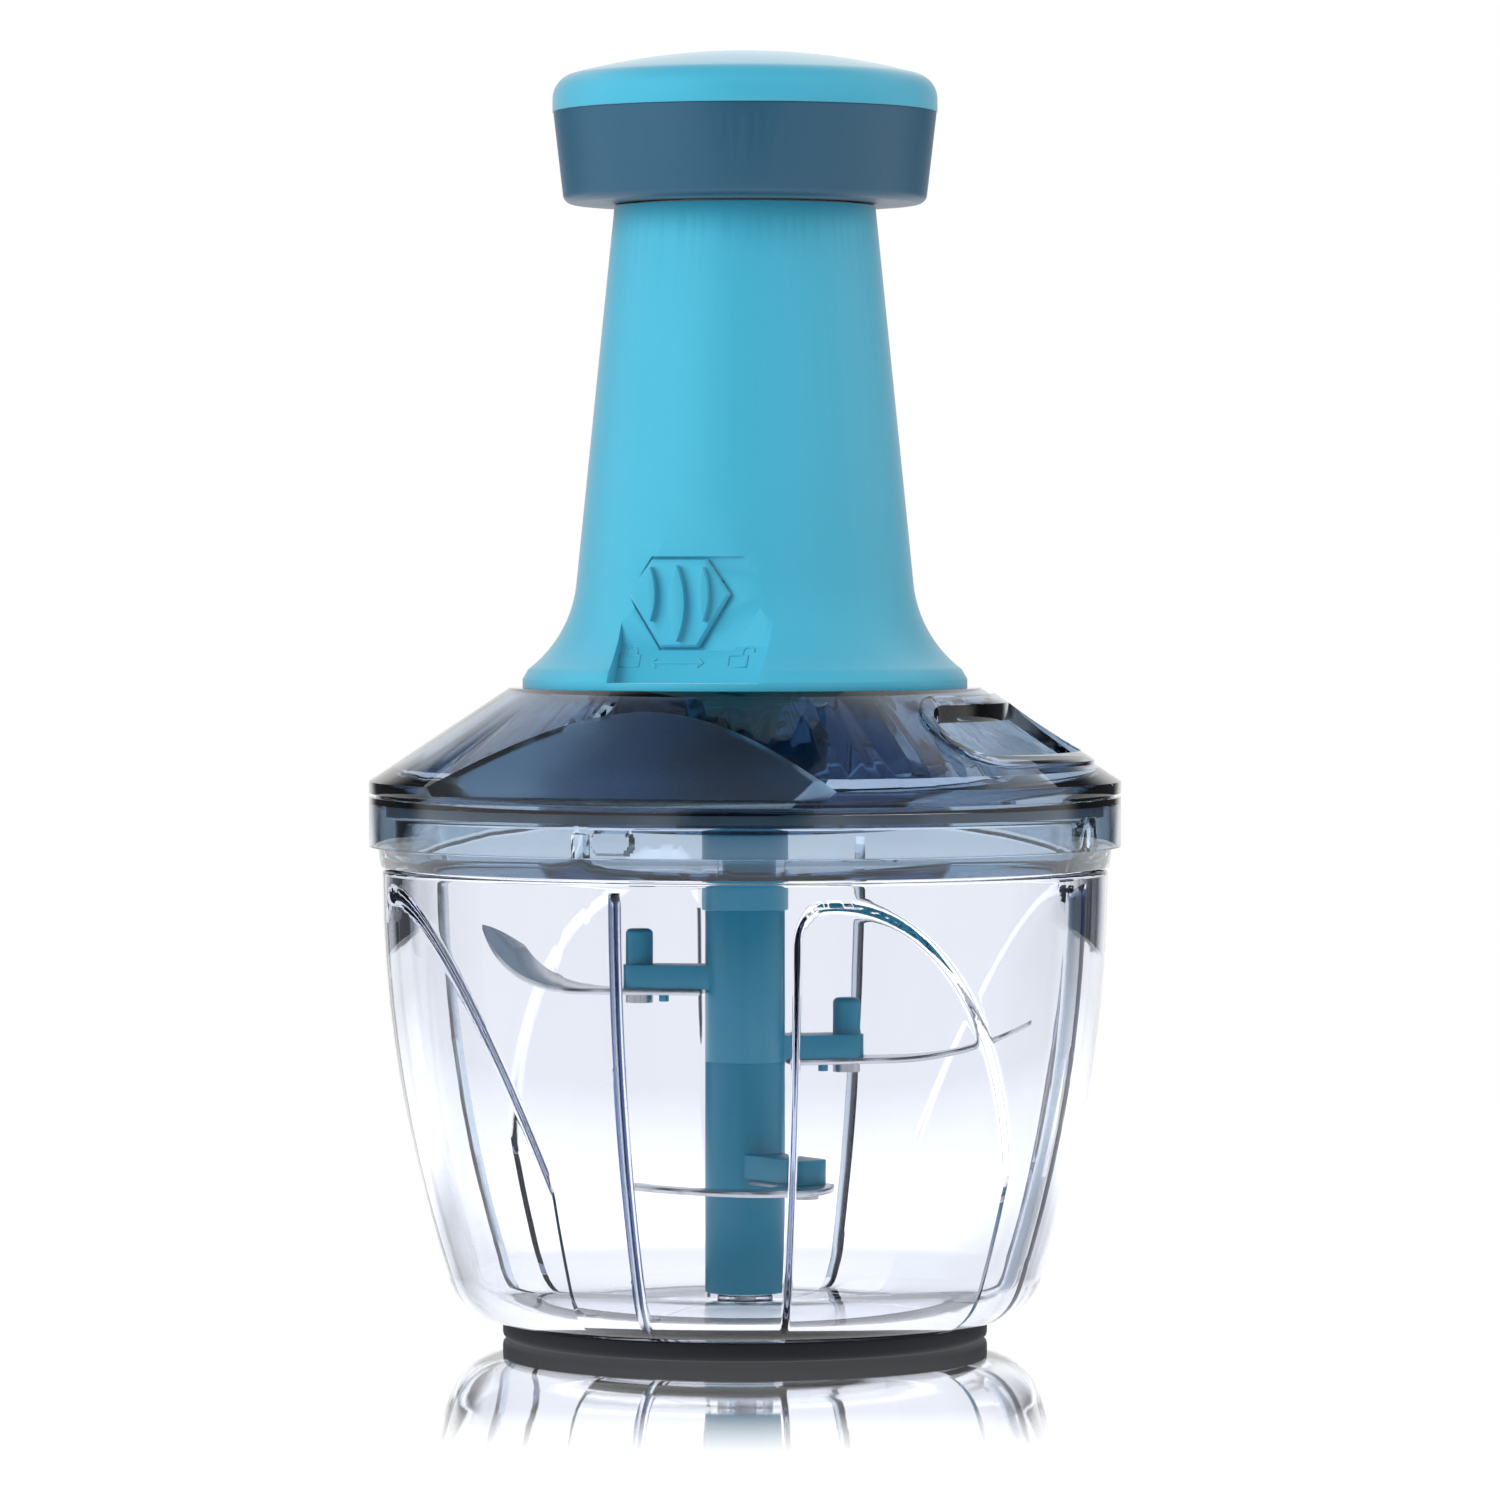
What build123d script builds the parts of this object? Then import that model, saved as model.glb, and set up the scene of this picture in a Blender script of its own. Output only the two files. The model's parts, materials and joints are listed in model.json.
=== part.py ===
from build123d import *
from math import asin, degrees, radians, sin, sqrt, tan
import os

# Plunger food chopper: a clear bowl, a smoke lid that carries the handle, a knob that is pushed
# down, and blades that a twisted spindle turns. Millimetres, +Z up, the origin at the middle of
# the foot on the table, the front (the lock's side) towards -Y. The knob is down and locked.

# ---- shared clearances -------------------------------------------------------------------
RUN_GAP = 0.3            # between pieces that move past each other
FIT_GAP = 0.1            # between pieces of one assembly that are pushed together
SCREW_GAP = 0.1          # round a screw's shank

# ---- bowl --------------------------------------------------------------------------------
BOWL_R = 65.4            # outside, just under the lid
BOWL_SHOULDER_Z = 84.6   # where the wall steps in to the neck
BOWL_WALL_CURVE_R = 233  # curve of the outer wall, seen from the side
BOWL_WALL = 3.6
BOWL_HEEL_Z = 10.5       # where the wall starts to round in to the foot
BOWL_FLOOR = 3.1
FLOOR_ROUND_H = 5.5      # height of the round between floor and wall
NECK_STEP = 2.3          # neck in from the wall
NECK_H = 9.6
LUG_COUNT = 4
LUG_W = 7.7
LUG_H = 4.0
LUG_REACH = 1.6          # out from the neck
LUG_AZ = -4.0            # azimuth of the first lug and rib, from the front
RIB_W = 1.8
RIB_DEPTH = 2.0
RIB_TOP_GAP = 2.4        # rib top below the shoulder
BAFFLE_COUNT = 4
BAFFLE_AZ = 25.3         # the straight edge of the first baffle
BAFFLE_THICK = 1.2
BAFFLE_LEAN = 6.0        # from the straight edge to the middle of the leaning face, degrees
BAFFLE_SLOPE = 20.8      # lean of the cutting plane off the vertical
BAFFLE_TOP_GAP = 4.0     # apex below the shoulder

# ---- foot ring, pivot pin ----------------------------------------------------------------
FOOT_H = 3.4
FOOT_W = 6.0
FOOT_EDGE_ROUND = 1.2    # of its lower outer edge
FOOT_TONGUE_W = 2.4
FOOT_TONGUE_H = 1.4
PIN_R = 2.0
PIN_LEN = 14.0
PIN_SINK = 2.0           # moulded into the floor and its boss
PIN_BOSS_R = 5.0
PIN_BOSS_H = 2.5

# ---- lid ---------------------------------------------------------------------------------
LID_OUT = 2.4            # rim out from the bowl's wall
LID_GAP = 0.6            # between bowl shoulder and lid skirt
SKIRT_LIP_H = 3.6        # the slim lower lip, under the band
SKIRT_LIP_OUT = 0.8      # lip's top, out from the bowl's wall
SKIRT_FOOT_OUT = 0.3     # lip's foot, out from the bowl's wall
SKIRT_PLATE = 1.4
SKIRT_WALL = 1.9
FLANGE_H = 3.8           # inward flange under the lugs
SEAT_IN = 3.1            # inner edge of the skirt's top plate, in from the neck
NOTCH_GAP = 1.9          # each side of a lug, in the gap that lets it through
LID_OPEN_DEG = 22.0      # twist from locked to open
STOP_W = 2.2
GASKET_H = 1.6
GASKET_W = 4.0
GASKET_IN = 2.5          # inner edge, in from the neck
GASKET_GAP = 0.5         # seal above the bowl's rim
GROOVE_H = 0.7           # groove between skirt and cover
BEAD_H = 2.1
BEAD_UNDERCUT = 1.2
COVER_H = 19.6           # from the skirt's top to the cover's
COVER_LEDGE = 2.4        # flat top out from the handle's foot
COVER_SEAT_OUT = 2.5     # the cover's inner edge, out from the skirt plate's
LID_WALL = 2.0
FACET_IN = 20.0          # grip facet's apex, in from the rim
FACET_LEAN = 31.4        # off the vertical
FACET_SILL = 0.5         # facet's foot above the bead's underside
POUR_MID_IN = 13.8       # the pour opening's middle line, in from the rim
POUR_W = 13.0
POUR_HALF_DEG = 21.8     # from its middle to the centre of a round end
POUR_LIP = 2.5
POUR_LIP_H = 0.7

# ---- handle ------------------------------------------------------------------------------
HANDLE_LEN = 86.6
HANDLE_TAPER = 6.9       # neck radius over the top's
HANDLE_NECK_H = 18.7     # where the straight taper ends and the flare starts
HANDLE_FOOT_R = 40.1
HANDLE_FOOT_EDGE = 1.5
FLARE_H = 3.3
FLARE_IN = 1.0
HANDLE_WALL = 2.0
PANEL_IN = 1.4           # flat panel behind the thumb slide, in from the neck's radius
PANEL_MARGIN = 1.25      # beside the slide's travel
PANEL_BELOW = 6.0
PANEL_BEND_H = 6.4       # height over which its foot leans outwards
PANEL_FOOT_OUT = 4.2
PAD_DEPTH = 3.2          # wall behind the panel
BASE_PLATE = 2.2
BASE_BOSS_H = 4.5
BASE_SCREW_COUNT = 4
BASE_SCREW_AZ = 45.0
BASE_SCREW_OUT = 6.0     # screw circle out from the tube's stop ring
BASE_SCREW_R = 1.5
BASE_SCREW_HEAD_R = 2.6
BASE_SCREW_HEAD_H = 1.8
BASE_SCREW_LEN = 12.0
BASE_BOSS_WALL = 1.9

# ---- knob and plunger --------------------------------------------------------------------
TRAVEL = 55.0
TUBE_R = 19.8
TUBE_WALL = 1.8
TUBE_LIFT = 2.5          # tube's foot above the base plate
TUBE_IN_KNOB = 9.7       # tube's top above the knob's foot
TUBE_WEB = 2.6
TUBE_STOP_OUT = 2.7
TUBE_STOP_H = 2.0
BUSH_WALL = 1.3          # guide bush, at the handle's top
BUSH_STOP_GAP = 1.9      # from the raised stop ring to the bush
KNOB_GAP = 0.4           # between handle top and knob, at rest
KNOB_R = 34.65
KNOB_RING_H = 16.5       # from the foot to the seam
KNOB_DOME_H = 10.9       # from the seam to the top
KNOB_EDGE_H = 5.8        # from the seam to where the dome would meet the side
KNOB_EDGE_ROUND = 4.6
KNOB_WALL = 2.0
RING_TOP_IN = 0.15
RING_FOOT_IN = 2.05
RING_EDGE_ROUND = 1.8
RING_FLOOR = 2.2
SPIGOT_H = 5.0
KNOB_SCREW_COUNT = 3
KNOB_SCREW_IN = 5.8      # screw circle in from the tube's outside
KNOB_SCREW_R = 1.3
KNOB_SCREW_HEAD_R = 2.5
KNOB_SCREW_HEAD_H = 1.8
KNOB_SCREW_LEN = 9.0
KNOB_BOSS_R = 3.0

# ---- twisted drive -----------------------------------------------------------------------
LEAD = 30.0              # height of one full turn of the strip
STRIP_W = 8.0
STRIP_T = 2.0
STRIP_ABOVE = 8.0        # strip's end above the tube's top
STRIP_SPARE = 0.8        # strip left above the nut with the knob up
SLOT_GAP = 0.3
NUT_SHELF_H = 3.0
NUT_WALL = 4.8           # barrel out from the strip's edge
NUT_FLANGE_GAP = 2.5     # flange to the tube's bore
NUT_FLANGE_H = 2.2
NUT_ABOVE = 3.2          # barrel above the shelf
NUT_CLIP_H = 1.0
NUT_CLIP_GROOVE = 0.8
NUT_CLIP_W = 2.4
SPRING_IN = 2.0          # wire's middle in from the nut flange's edge
SPRING_BOSS_GAP = 1.5
SPRING_WIRE_R = 0.7
SPRING_TURNS = 9
CLUTCH_SPRING_GAP = 0.7
CLUTCH_WIRE_R = 0.4
CLUTCH_TURNS = 3
SPINDLE_BUSH_GAP = 0.6   # bore over half the strip's width
SPINDLE_BUSH_WALL = 1.4
SPINDLE_BUSH_FLANGE_OUT = 2.5
SPINDLE_BUSH_FLANGE_H = 2.0
ROTOR_R = 15.0
ROTOR_DISC = 2.9
ROTOR_HUB_WALL = 3.0
ROTOR_HUB_GAP = 0.3      # hub top to bush
TOOTH_COUNT = 12
TOOTH_H = 1.6
TOOTH_LEN = 5.5          # in from the rotor's edge
TOOTH_FILL = 0.9         # share of the pitch that a tooth takes
TOOTH_GAP = 0.4
DRIVER_DISC = 4.4
SPINDLE_PIN_R = 0.9

# ---- drive housing and socket ------------------------------------------------------------
HOUSING_R = 37.5
HOUSING_DROP = 26.3      # its underside below the cover's top
HOUSING_CONE_DROP = 16.9
HOUSING_SCREW_GAP = 1.9  # its top edge to the base screws' heads
HOUSING_WALL = 1.8
HOUSING_FLOOR = 2.2
WASHER_H = 1.0
SOCKET_R = 7.8
SOCKET_FLANGE_OUT = 4.7
SOCKET_FLANGE_H = 2.0
SOCKET_DROP = 13.6       # its foot below the housing
SOCKET_WEB = 2.4
KEY_W = 8.0              # square keys of driver and blade hub
KEY_LEN = 4.0
KEY_GAP = 0.15
DRIVE_SCREW_R = 1.6
DRIVE_SCREW_HEAD_R = 3.4
DRIVE_SCREW_HEAD_H = 2.0
DRIVE_SCREW_LEN = 8.5

# ---- blade unit --------------------------------------------------------------------------
HUB_STEP = 0.6           # hub in from the socket's outside
HUB_SEAM_DROP = 27.4     # seam below the socket
HUB_SPIGOT_IN = 2.7      # spigot in from the hub's outside
HUB_SPIGOT_H = 6.0
ARM_REACH = 22.0
ARM_W = 8.0
ARM_H = 4.3
UPPER_ARM_DROP = 14.4    # below the socket
MIDDLE_ARM_RISE = 0.4    # above the seam
LOWER_ARM_DROP = 20.6    # below the seam
UPPER_AZ = -81.0
MIDDLE_AZ = 124.0
LOWER_AZ = 50.0
UPPER_RISE = 13.0
MIDDLE_RISE = 8.0
LOWER_RISE = 1.5
BLADE_T = 1.0
BLADE_ROOT_GAP = 0.4     # blade root to hub
BLADE_WALL_GAP = 14.4    # in from the bowl's outside
BLADE_BEND_GAP = 4.5     # flat stretch past the arm's end
BLADE_SKEW = 30.0        # its rise, turned towards the trailing side, degrees
BLADE_W = 9.0
BLADE_SWEEP = 12.0       # how far the tip trails
BLADE_BULGE = 5.0
HOOK_REACH = 16.8        # the lowest blade is a hook close over the floor
HOOK_SWEEP = 34.8
HOOK_BULGE = 13.5
HOOK_SKEW = 90.0
TIP_LEN = 5.0            # back from the tip's point to its rear corner
TIP_W = 6.8
TIP_ROUND = 1.2          # how far the tip's end bows out
REAR_BULGE = 0.8         # the rear edge's bow, as a share of the front's
POST_R = 2.5
POST_H = 6.5
POST_ROUND = 1.0
POST_INSET = 2.7         # post axis in from the arm's end
STAKE_R = 0.9
STAKE_INSET = 7.2
STAKE_LEN = 2.4
BLADE_SCREW_R = 1.2
BLADE_SCREW_HEAD_R = 2.5
BLADE_SCREW_HEAD_H = 1.6
BLADE_SCREW_COVER = 1.0  # above the screw's tip

# ---- lock --------------------------------------------------------------------------------
LOCK_TRAVEL = 6.3
LOCK_H = 17.0            # the slide's side points above the lid
BUTTON_HALF_W = 9.6
BUTTON_UP = 6.3
BUTTON_DOWN = 9.7
BUTTON_TOP_HALF = 5.2
BUTTON_FOOT_HALF = 3.6
BUTTON_PROUD = 0.8       # face in front of the panel
BUTTON_EDGE = 0.5        # chamfer round the face
POCKET_DEPTH = 0.8
POCKET_GAP = 0.3
POCKET_MITRE = 0.5       # how far the pocket's end corners go out, per gap
GRIP_H = 1.6
GRIP_W = 3.0
GRIP_SIDE_W = 1.9
GRIP_PITCH = 5.0
GRIP_LEN = 14.0
GRIP_SIDE_LEN = 10.0
SLIDE_NECK_HALF_W = 1.35
SLIDE_NECK_HALF_H = 2.0
BOLT_T = 2.2
BOLT_HALF_W = 6.5
BOLT_HALF_H = 4.5
FINGER_W = 3.0
FINGER_H = 2.4
LOCK_SCREW_R = 0.6
LOCK_SCREW_HEAD_R = 1.4
LOCK_SCREW_HEAD_H = 0.9
LOCK_SCREW_LEN = 5.0
DETENT_T = 0.4
DETENT_H = 2.4
DETENT_HALF_W = 9.0

# ---- screw recesses, as shares of the head's radius --------------------------------------
RECESS_REACH = 0.6
RECESS_HALF_W = 0.14

# ---- places that follow from the sizes: bowl and lid -------------------------------------
BOWL_UNDER_Z = FOOT_H
BOWL_FLOOR_Z = FOOT_H + BOWL_FLOOR
NECK_R = BOWL_R - NECK_STEP
RIM_Z = BOWL_SHOULDER_Z + NECK_H
LID_R = BOWL_R + LID_OUT
SKIRT_FOOT_Z = BOWL_SHOULDER_Z + LID_GAP
SKIRT_BAND_Z = SKIRT_FOOT_Z + SKIRT_LIP_H
FLANGE_TOP_Z = SKIRT_FOOT_Z + FLANGE_H
FLANGE_R = NECK_R + 2 * RUN_GAP
SKIRT_IN_R = LID_R - SKIRT_WALL
SEAT_R = NECK_R - SEAT_IN
PLATE_UNDER_Z = RIM_Z + GASKET_GAP + GASKET_H
SKIRT_TOP_Z = PLATE_UNDER_Z + SKIRT_PLATE
GASKET_IN_R = NECK_R - GASKET_IN
LUG_Z = FLANGE_TOP_Z + 2 * RUN_GAP
BEAD_Z = SKIRT_TOP_Z + GROOVE_H
LID_TOP_Z = SKIRT_TOP_Z + COVER_H
LID_TOP_R = HANDLE_FOOT_R + COVER_LEDGE
COVER_SEAT_R = SEAT_R + COVER_SEAT_OUT
COVER_SLOPE = (LID_TOP_Z - BEAD_Z - BEAD_H) / (LID_R - LID_TOP_R)
COVER_PLATE_Z = LID_TOP_Z - LID_WALL
FACET_TOP_R = LID_R - FACET_IN
FACET_FOOT_Z = BEAD_Z + FACET_SILL
POUR_MID_R = LID_R - POUR_MID_IN

# ---- places in the handle and the knob ---------------------------------------------------
HANDLE_TOP_Z = LID_TOP_Z + HANDLE_LEN
HANDLE_NECK_Z = LID_TOP_Z + HANDLE_NECK_H
HANDLE_TOP_R = TUBE_R + RUN_GAP + BUSH_WALL + FIT_GAP + HANDLE_WALL
HANDLE_NECK_R = HANDLE_TOP_R + HANDLE_TAPER
FLARE_Z = LID_TOP_Z + FLARE_H
FLARE_R = HANDLE_FOOT_R - FLARE_IN
BASE_TOP_Z = LID_TOP_Z + BASE_PLATE
TUBE_FOOT_Z = BASE_TOP_Z + TUBE_LIFT
TUBE_STOP_R = TUBE_R + TUBE_STOP_OUT
BUSH_FOOT_Z = TUBE_FOOT_Z + TUBE_STOP_H + TRAVEL + BUSH_STOP_GAP
BASE_SCREW_PCD_R = TUBE_STOP_R + BASE_SCREW_OUT
KNOB_FOOT_Z = HANDLE_TOP_Z + KNOB_GAP
KNOB_SEAM_Z = KNOB_FOOT_Z + KNOB_RING_H
KNOB_EDGE_Z = KNOB_SEAM_Z + KNOB_EDGE_H
KNOB_TOP_Z = KNOB_SEAM_Z + KNOB_DOME_H
RING_TOP_R = KNOB_R - RING_TOP_IN
RING_FOOT_R = KNOB_R - RING_FOOT_IN
TUBE_TOP_Z = KNOB_FOOT_Z + TUBE_IN_KNOB
KNOB_SCREW_PCD_R = TUBE_R - KNOB_SCREW_IN
LOCK_Z = LID_TOP_Z + LOCK_H
LOCK_X = -LOCK_TRAVEL / 2
PANEL_Y = HANDLE_NECK_R - PANEL_IN
PANEL_HALF_W = BUTTON_HALF_W + LOCK_TRAVEL / 2 + PANEL_MARGIN
PANEL_TOP_Z = HANDLE_NECK_Z + PANEL_IN * (HANDLE_TOP_Z - HANDLE_NECK_Z) / HANDLE_TAPER
PANEL_FOOT_Z = LOCK_Z - BUTTON_DOWN - PANEL_BELOW
PAD_Y = PANEL_Y - PAD_DEPTH
POCKET_Y = PANEL_Y - POCKET_DEPTH
BOLT_Y = PAD_Y - RUN_GAP

# ---- places in the drive -----------------------------------------------------------------
STRIP_TOP_Z = TUBE_TOP_Z + STRIP_ABOVE
NUT_R = STRIP_W / 2 + NUT_WALL
NUT_FLANGE_R = TUBE_R - TUBE_WALL - NUT_FLANGE_GAP
NUT_SHELF_Z = STRIP_TOP_Z - TRAVEL - STRIP_SPARE - NUT_SHELF_H - NUT_ABOVE
NUT_FLANGE_Z = NUT_SHELF_Z - NUT_FLANGE_H
NUT_CLIP_Z = NUT_SHELF_Z + NUT_SHELF_H
NUT_TOP_Z = NUT_CLIP_Z + NUT_ABOVE
SPRING_R = NUT_FLANGE_R - SPRING_IN
BASE_BOSS_R = SPRING_R - SPRING_WIRE_R - SPRING_BOSS_GAP
SPINDLE_BUSH_BORE = STRIP_W / 2 + SPINDLE_BUSH_GAP
SPINDLE_BUSH_R = SPINDLE_BUSH_BORE + SPINDLE_BUSH_WALL
SPINDLE_BUSH_FLANGE_R = SPINDLE_BUSH_R + SPINDLE_BUSH_FLANGE_OUT
CLUTCH_SPRING_R = SPINDLE_BUSH_FLANGE_R + CLUTCH_SPRING_GAP + CLUTCH_WIRE_R
ROTOR_HUB_R = STRIP_W / 2 + ROTOR_HUB_WALL
TOOTH_IN_R = ROTOR_R - TOOTH_LEN
HOUSING_TOP_R = BASE_SCREW_PCD_R - BASE_SCREW_HEAD_R - HOUSING_SCREW_GAP
HOUSING_CONE_Z = LID_TOP_Z - HOUSING_CONE_DROP
HOUSING_FLOOR_Z = LID_TOP_Z - HOUSING_DROP
WASHER_Z = HOUSING_FLOOR_Z + HOUSING_FLOOR
SOCKET_FLANGE_Z = WASHER_Z + WASHER_H + RUN_GAP
SOCKET_FLANGE_R = SOCKET_R + SOCKET_FLANGE_OUT
SOCKET_FOOT_Z = HOUSING_FLOOR_Z - SOCKET_DROP
DRIVER_Z = SOCKET_FLANGE_Z + SOCKET_FLANGE_H
DRIVER_TOOTH_Z = DRIVER_Z + DRIVER_DISC
ROTOR_Z = DRIVER_TOOTH_Z + 2 * TOOTH_H + TOOTH_GAP
ROTOR_TOP_Z = ROTOR_Z + ROTOR_DISC
BUSH_FLANGE_Z = COVER_PLATE_Z - SPINDLE_BUSH_FLANGE_H
ROTOR_HUB_TOP_Z = BUSH_FLANGE_Z - ROTOR_HUB_GAP
SOCKET_WEB_Z = DRIVER_Z - KEY_LEN - FIT_GAP - SOCKET_WEB

# ---- places on the blade unit ------------------------------------------------------------
HUB_R = SOCKET_R - HUB_STEP
HUB_SPIGOT_R = HUB_R - HUB_SPIGOT_IN
HUB_SEAM_Z = SOCKET_FOOT_Z - HUB_SEAM_DROP
HUB_TOP_Z = SOCKET_FOOT_Z - FIT_GAP
HUB_FOOT_Z = BOWL_FLOOR_Z + PIN_BOSS_H + RUN_GAP
PIN_FOOT_Z = BOWL_FLOOR_Z - PIN_SINK + FIT_GAP
PIN_TOP_Z = PIN_FOOT_Z + PIN_LEN
UPPER_ARM_Z = SOCKET_FOOT_Z - UPPER_ARM_DROP
MIDDLE_ARM_Z = HUB_SEAM_Z + MIDDLE_ARM_RISE
LOWER_ARM_Z = HUB_SEAM_Z - LOWER_ARM_DROP
BLADE_REACH = BOWL_R - BLADE_WALL_GAP


# ---- shapes used by many pieces ----------------------------------------------------------
def outlined(*lines):
    """A flat face inside a closed outline of lines and arcs."""
    edges = []
    for line in lines:
        edges += line.edges()
    return make_face(edges)


def spun(*lines):
    """Turn a closed outline, drawn as (radius, height), round the axis."""
    return revolve(Plane.XZ * outlined(*lines), Axis.Z)


def turned(*points):
    """Turn a closed outline with straight sides, given as (radius, height)."""
    return spun(Polyline(*points, close=True))


def ring(outer, inner, low, high):
    """A washer or a tube between two heights; an inner radius of 0 makes a disc."""
    body = Pos(0, 0, (low + high) / 2) * Cylinder(outer, high - low)
    if inner > 0:
        body -= Pos(0, 0, (low + high) / 2) * Cylinder(inner, high - low)
    return body


def block(x0, x1, y0, y1, z0, z1):
    """A box between two corners."""
    return Pos((x0 + x1) / 2, (y0 + y1) / 2, (z0 + z1) / 2) * Box(x1 - x0, y1 - y0, z1 - z0)


def at(azimuth, radius=0.0, height=0.0):
    """A place round the axis; azimuth 0 is the front and grows towards +X."""
    return Rot(0, 0, azimuth) * Pos(0, -radius, height)


def around(count, first, shape):
    """Copies of a shape at equal steps round the axis, as one part."""
    total = Part()
    for index in range(count):
        total += Rot(0, 0, first + 360 / count * index) * shape
    return total


def group(shapes):
    """Separate solids that share one node."""
    solids = []
    for shape in shapes:
        solids += list(shape.solids())
    return Compound(children=solids)


def side_plane(height):
    """A plane for outlines given as (distance in front of the axis, height above a place)."""
    return Plane(origin=(0, 0, height), x_dir=(0, -1, 0), z_dir=(-1, 0, 0))


def screw(shank_r, head_r, head_h, length):
    """A pan screw that points up, with its head's seat at height 0 and a cross recess."""
    body = ring(shank_r, 0, 0, length) + ring(head_r, 0, -head_h, 0)
    arm = head_r * RECESS_REACH
    slot = head_r * RECESS_HALF_W
    recess = block(-arm, arm, -slot, slot, -head_h, -head_h / 2)
    recess += block(-slot, slot, -arm, arm, -head_h, -head_h / 2)
    return body - recess


def coil(mean_r, wire_r, low, high, turns):
    """A helical spring that stands between two seats."""
    height = high - low - 2 * wire_r
    path = Helix(height / turns, height, mean_r)
    section = Plane(origin=path @ 0, z_dir=path % 0) * Circle(wire_r)
    return Pos(0, 0, low + wire_r) * sweep(section, path=path, is_frenet=True)


# ---- bowl --------------------------------------------------------------------------------
def wall_r(height, inset=0.0):
    """Radius of the bowl's wall at a height, or of a face that lies inside it."""
    drop = BOWL_SHOULDER_Z - height
    return BOWL_R - BOWL_WALL_CURVE_R + sqrt((BOWL_WALL_CURVE_R - inset) ** 2 - drop ** 2)


def wall_arc(low, high, inset):
    """The wall's curve between two heights."""
    middle = (low + high) / 2
    return ThreePointArc((wall_r(low, inset), low), (wall_r(middle, inset), middle),
                         (wall_r(high, inset), high))


def corner_r(flat_z, wall_z, inset):
    """Radius at which a flat face meets a round that runs into the wall without a kink."""
    lean = asin((BOWL_SHOULDER_Z - wall_z) / (BOWL_WALL_CURVE_R - inset))
    half = (radians(90) - lean) / 2
    return wall_r(wall_z, inset) - (wall_z - flat_z) / tan(half)


def cavity(inset):
    """The hollow of the bowl, or a smaller one whose wall lies further in."""
    round_z = BOWL_FLOOR_Z + FLOOR_ROUND_H
    floor_r = corner_r(BOWL_FLOOR_Z, round_z, inset)
    return spun(
        Line((0, BOWL_FLOOR_Z), (floor_r, BOWL_FLOOR_Z)),
        TangentArc((floor_r, BOWL_FLOOR_Z), (wall_r(round_z, inset), round_z), tangent=(1, 0)),
        wall_arc(round_z, BOWL_SHOULDER_Z, inset),
        Line((wall_r(BOWL_SHOULDER_Z, inset), BOWL_SHOULDER_Z),
             (wall_r(BOWL_SHOULDER_Z, inset), RIM_Z)),
        Line((wall_r(BOWL_SHOULDER_Z, inset), RIM_Z), (0, RIM_Z)),
        Line((0, RIM_Z), (0, BOWL_FLOOR_Z)))


def bowl_outside():
    heel_r = corner_r(BOWL_UNDER_Z, BOWL_HEEL_Z, 0)
    return spun(
        Line((0, BOWL_UNDER_Z), (heel_r, BOWL_UNDER_Z)),
        TangentArc((heel_r, BOWL_UNDER_Z), (wall_r(BOWL_HEEL_Z), BOWL_HEEL_Z), tangent=(1, 0)),
        wall_arc(BOWL_HEEL_Z, BOWL_SHOULDER_Z, 0),
        Line((BOWL_R, BOWL_SHOULDER_Z), (NECK_R, BOWL_SHOULDER_Z)),
        Line((NECK_R, BOWL_SHOULDER_Z), (NECK_R, RIM_Z)),
        Line((NECK_R, RIM_Z), (0, RIM_Z)),
        Line((0, RIM_Z), (0, BOWL_UNDER_Z)))


def bowl_ribs():
    """Upright ribs on the inside of the wall, with flat tops."""
    top = BOWL_SHOULDER_Z - RIB_TOP_GAP
    low = BOWL_FLOOR_Z + FIT_GAP
    skin = cavity(BOWL_WALL - FIT_GAP) - cavity(BOWL_WALL + RIB_DEPTH)
    slab = block(-RIB_W / 2, RIB_W / 2, -BOWL_R, 0, low, top)
    return around(LUG_COUNT, LUG_AZ, slab) & skin


def bowl_baffles():
    """Raised lancet fields that throw food back: one side upright, the other leaning."""
    apex = BOWL_SHOULDER_Z - BAFFLE_TOP_GAP
    skin = cavity(BOWL_WALL - FIT_GAP) - cavity(BOWL_WALL + BAFFLE_THICK)
    leaning = Pos(0, -wall_r(apex, BOWL_WALL), apex) * Rot(-BAFFLE_SLOPE, 0, 0)
    beyond = leaning * block(-BOWL_R, BOWL_R, -BOWL_R, 0, -2 * apex, 2 * apex)
    beyond = Rot(0, 0, BAFFLE_AZ + BAFFLE_LEAN) * beyond
    side = Rot(0, 0, BAFFLE_AZ) * block(0, BOWL_R, -BOWL_R, 0, BOWL_FLOOR_Z + FIT_GAP, apex)
    return around(BAFFLE_COUNT, 0, (skin & side) & beyond)


def make_bowl():
    body = bowl_outside() - cavity(BOWL_WALL)
    body += bowl_ribs()
    body += bowl_baffles()
    body += ring(PIN_BOSS_R, 0, BOWL_UNDER_Z + FIT_GAP, BOWL_FLOOR_Z + PIN_BOSS_H)
    body -= ring(PIN_R, 0, PIN_FOOT_Z, BOWL_FLOOR_Z + PIN_BOSS_H)
    lug = Pos(0, -NECK_R, LUG_Z + LUG_H / 2) * Rot(90, 0, 0)
    lug *= extrude(SlotOverall(LUG_W, LUG_H), LUG_REACH, both=True)
    body += around(LUG_COUNT, LUG_AZ, lug - ring(NECK_R - FIT_GAP, 0, LUG_Z, LUG_Z + LUG_H))
    return body - foot_groove()


def foot_mid_r():
    return corner_r(BOWL_UNDER_Z, BOWL_HEEL_Z, 0) + RUN_GAP - FOOT_W / 2


def foot_groove():
    half = FOOT_TONGUE_W / 2 + FIT_GAP
    depth = FOOT_TONGUE_H + FIT_GAP
    return ring(foot_mid_r() + half, foot_mid_r() - half, BOWL_UNDER_Z, BOWL_UNDER_Z + depth)


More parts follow.
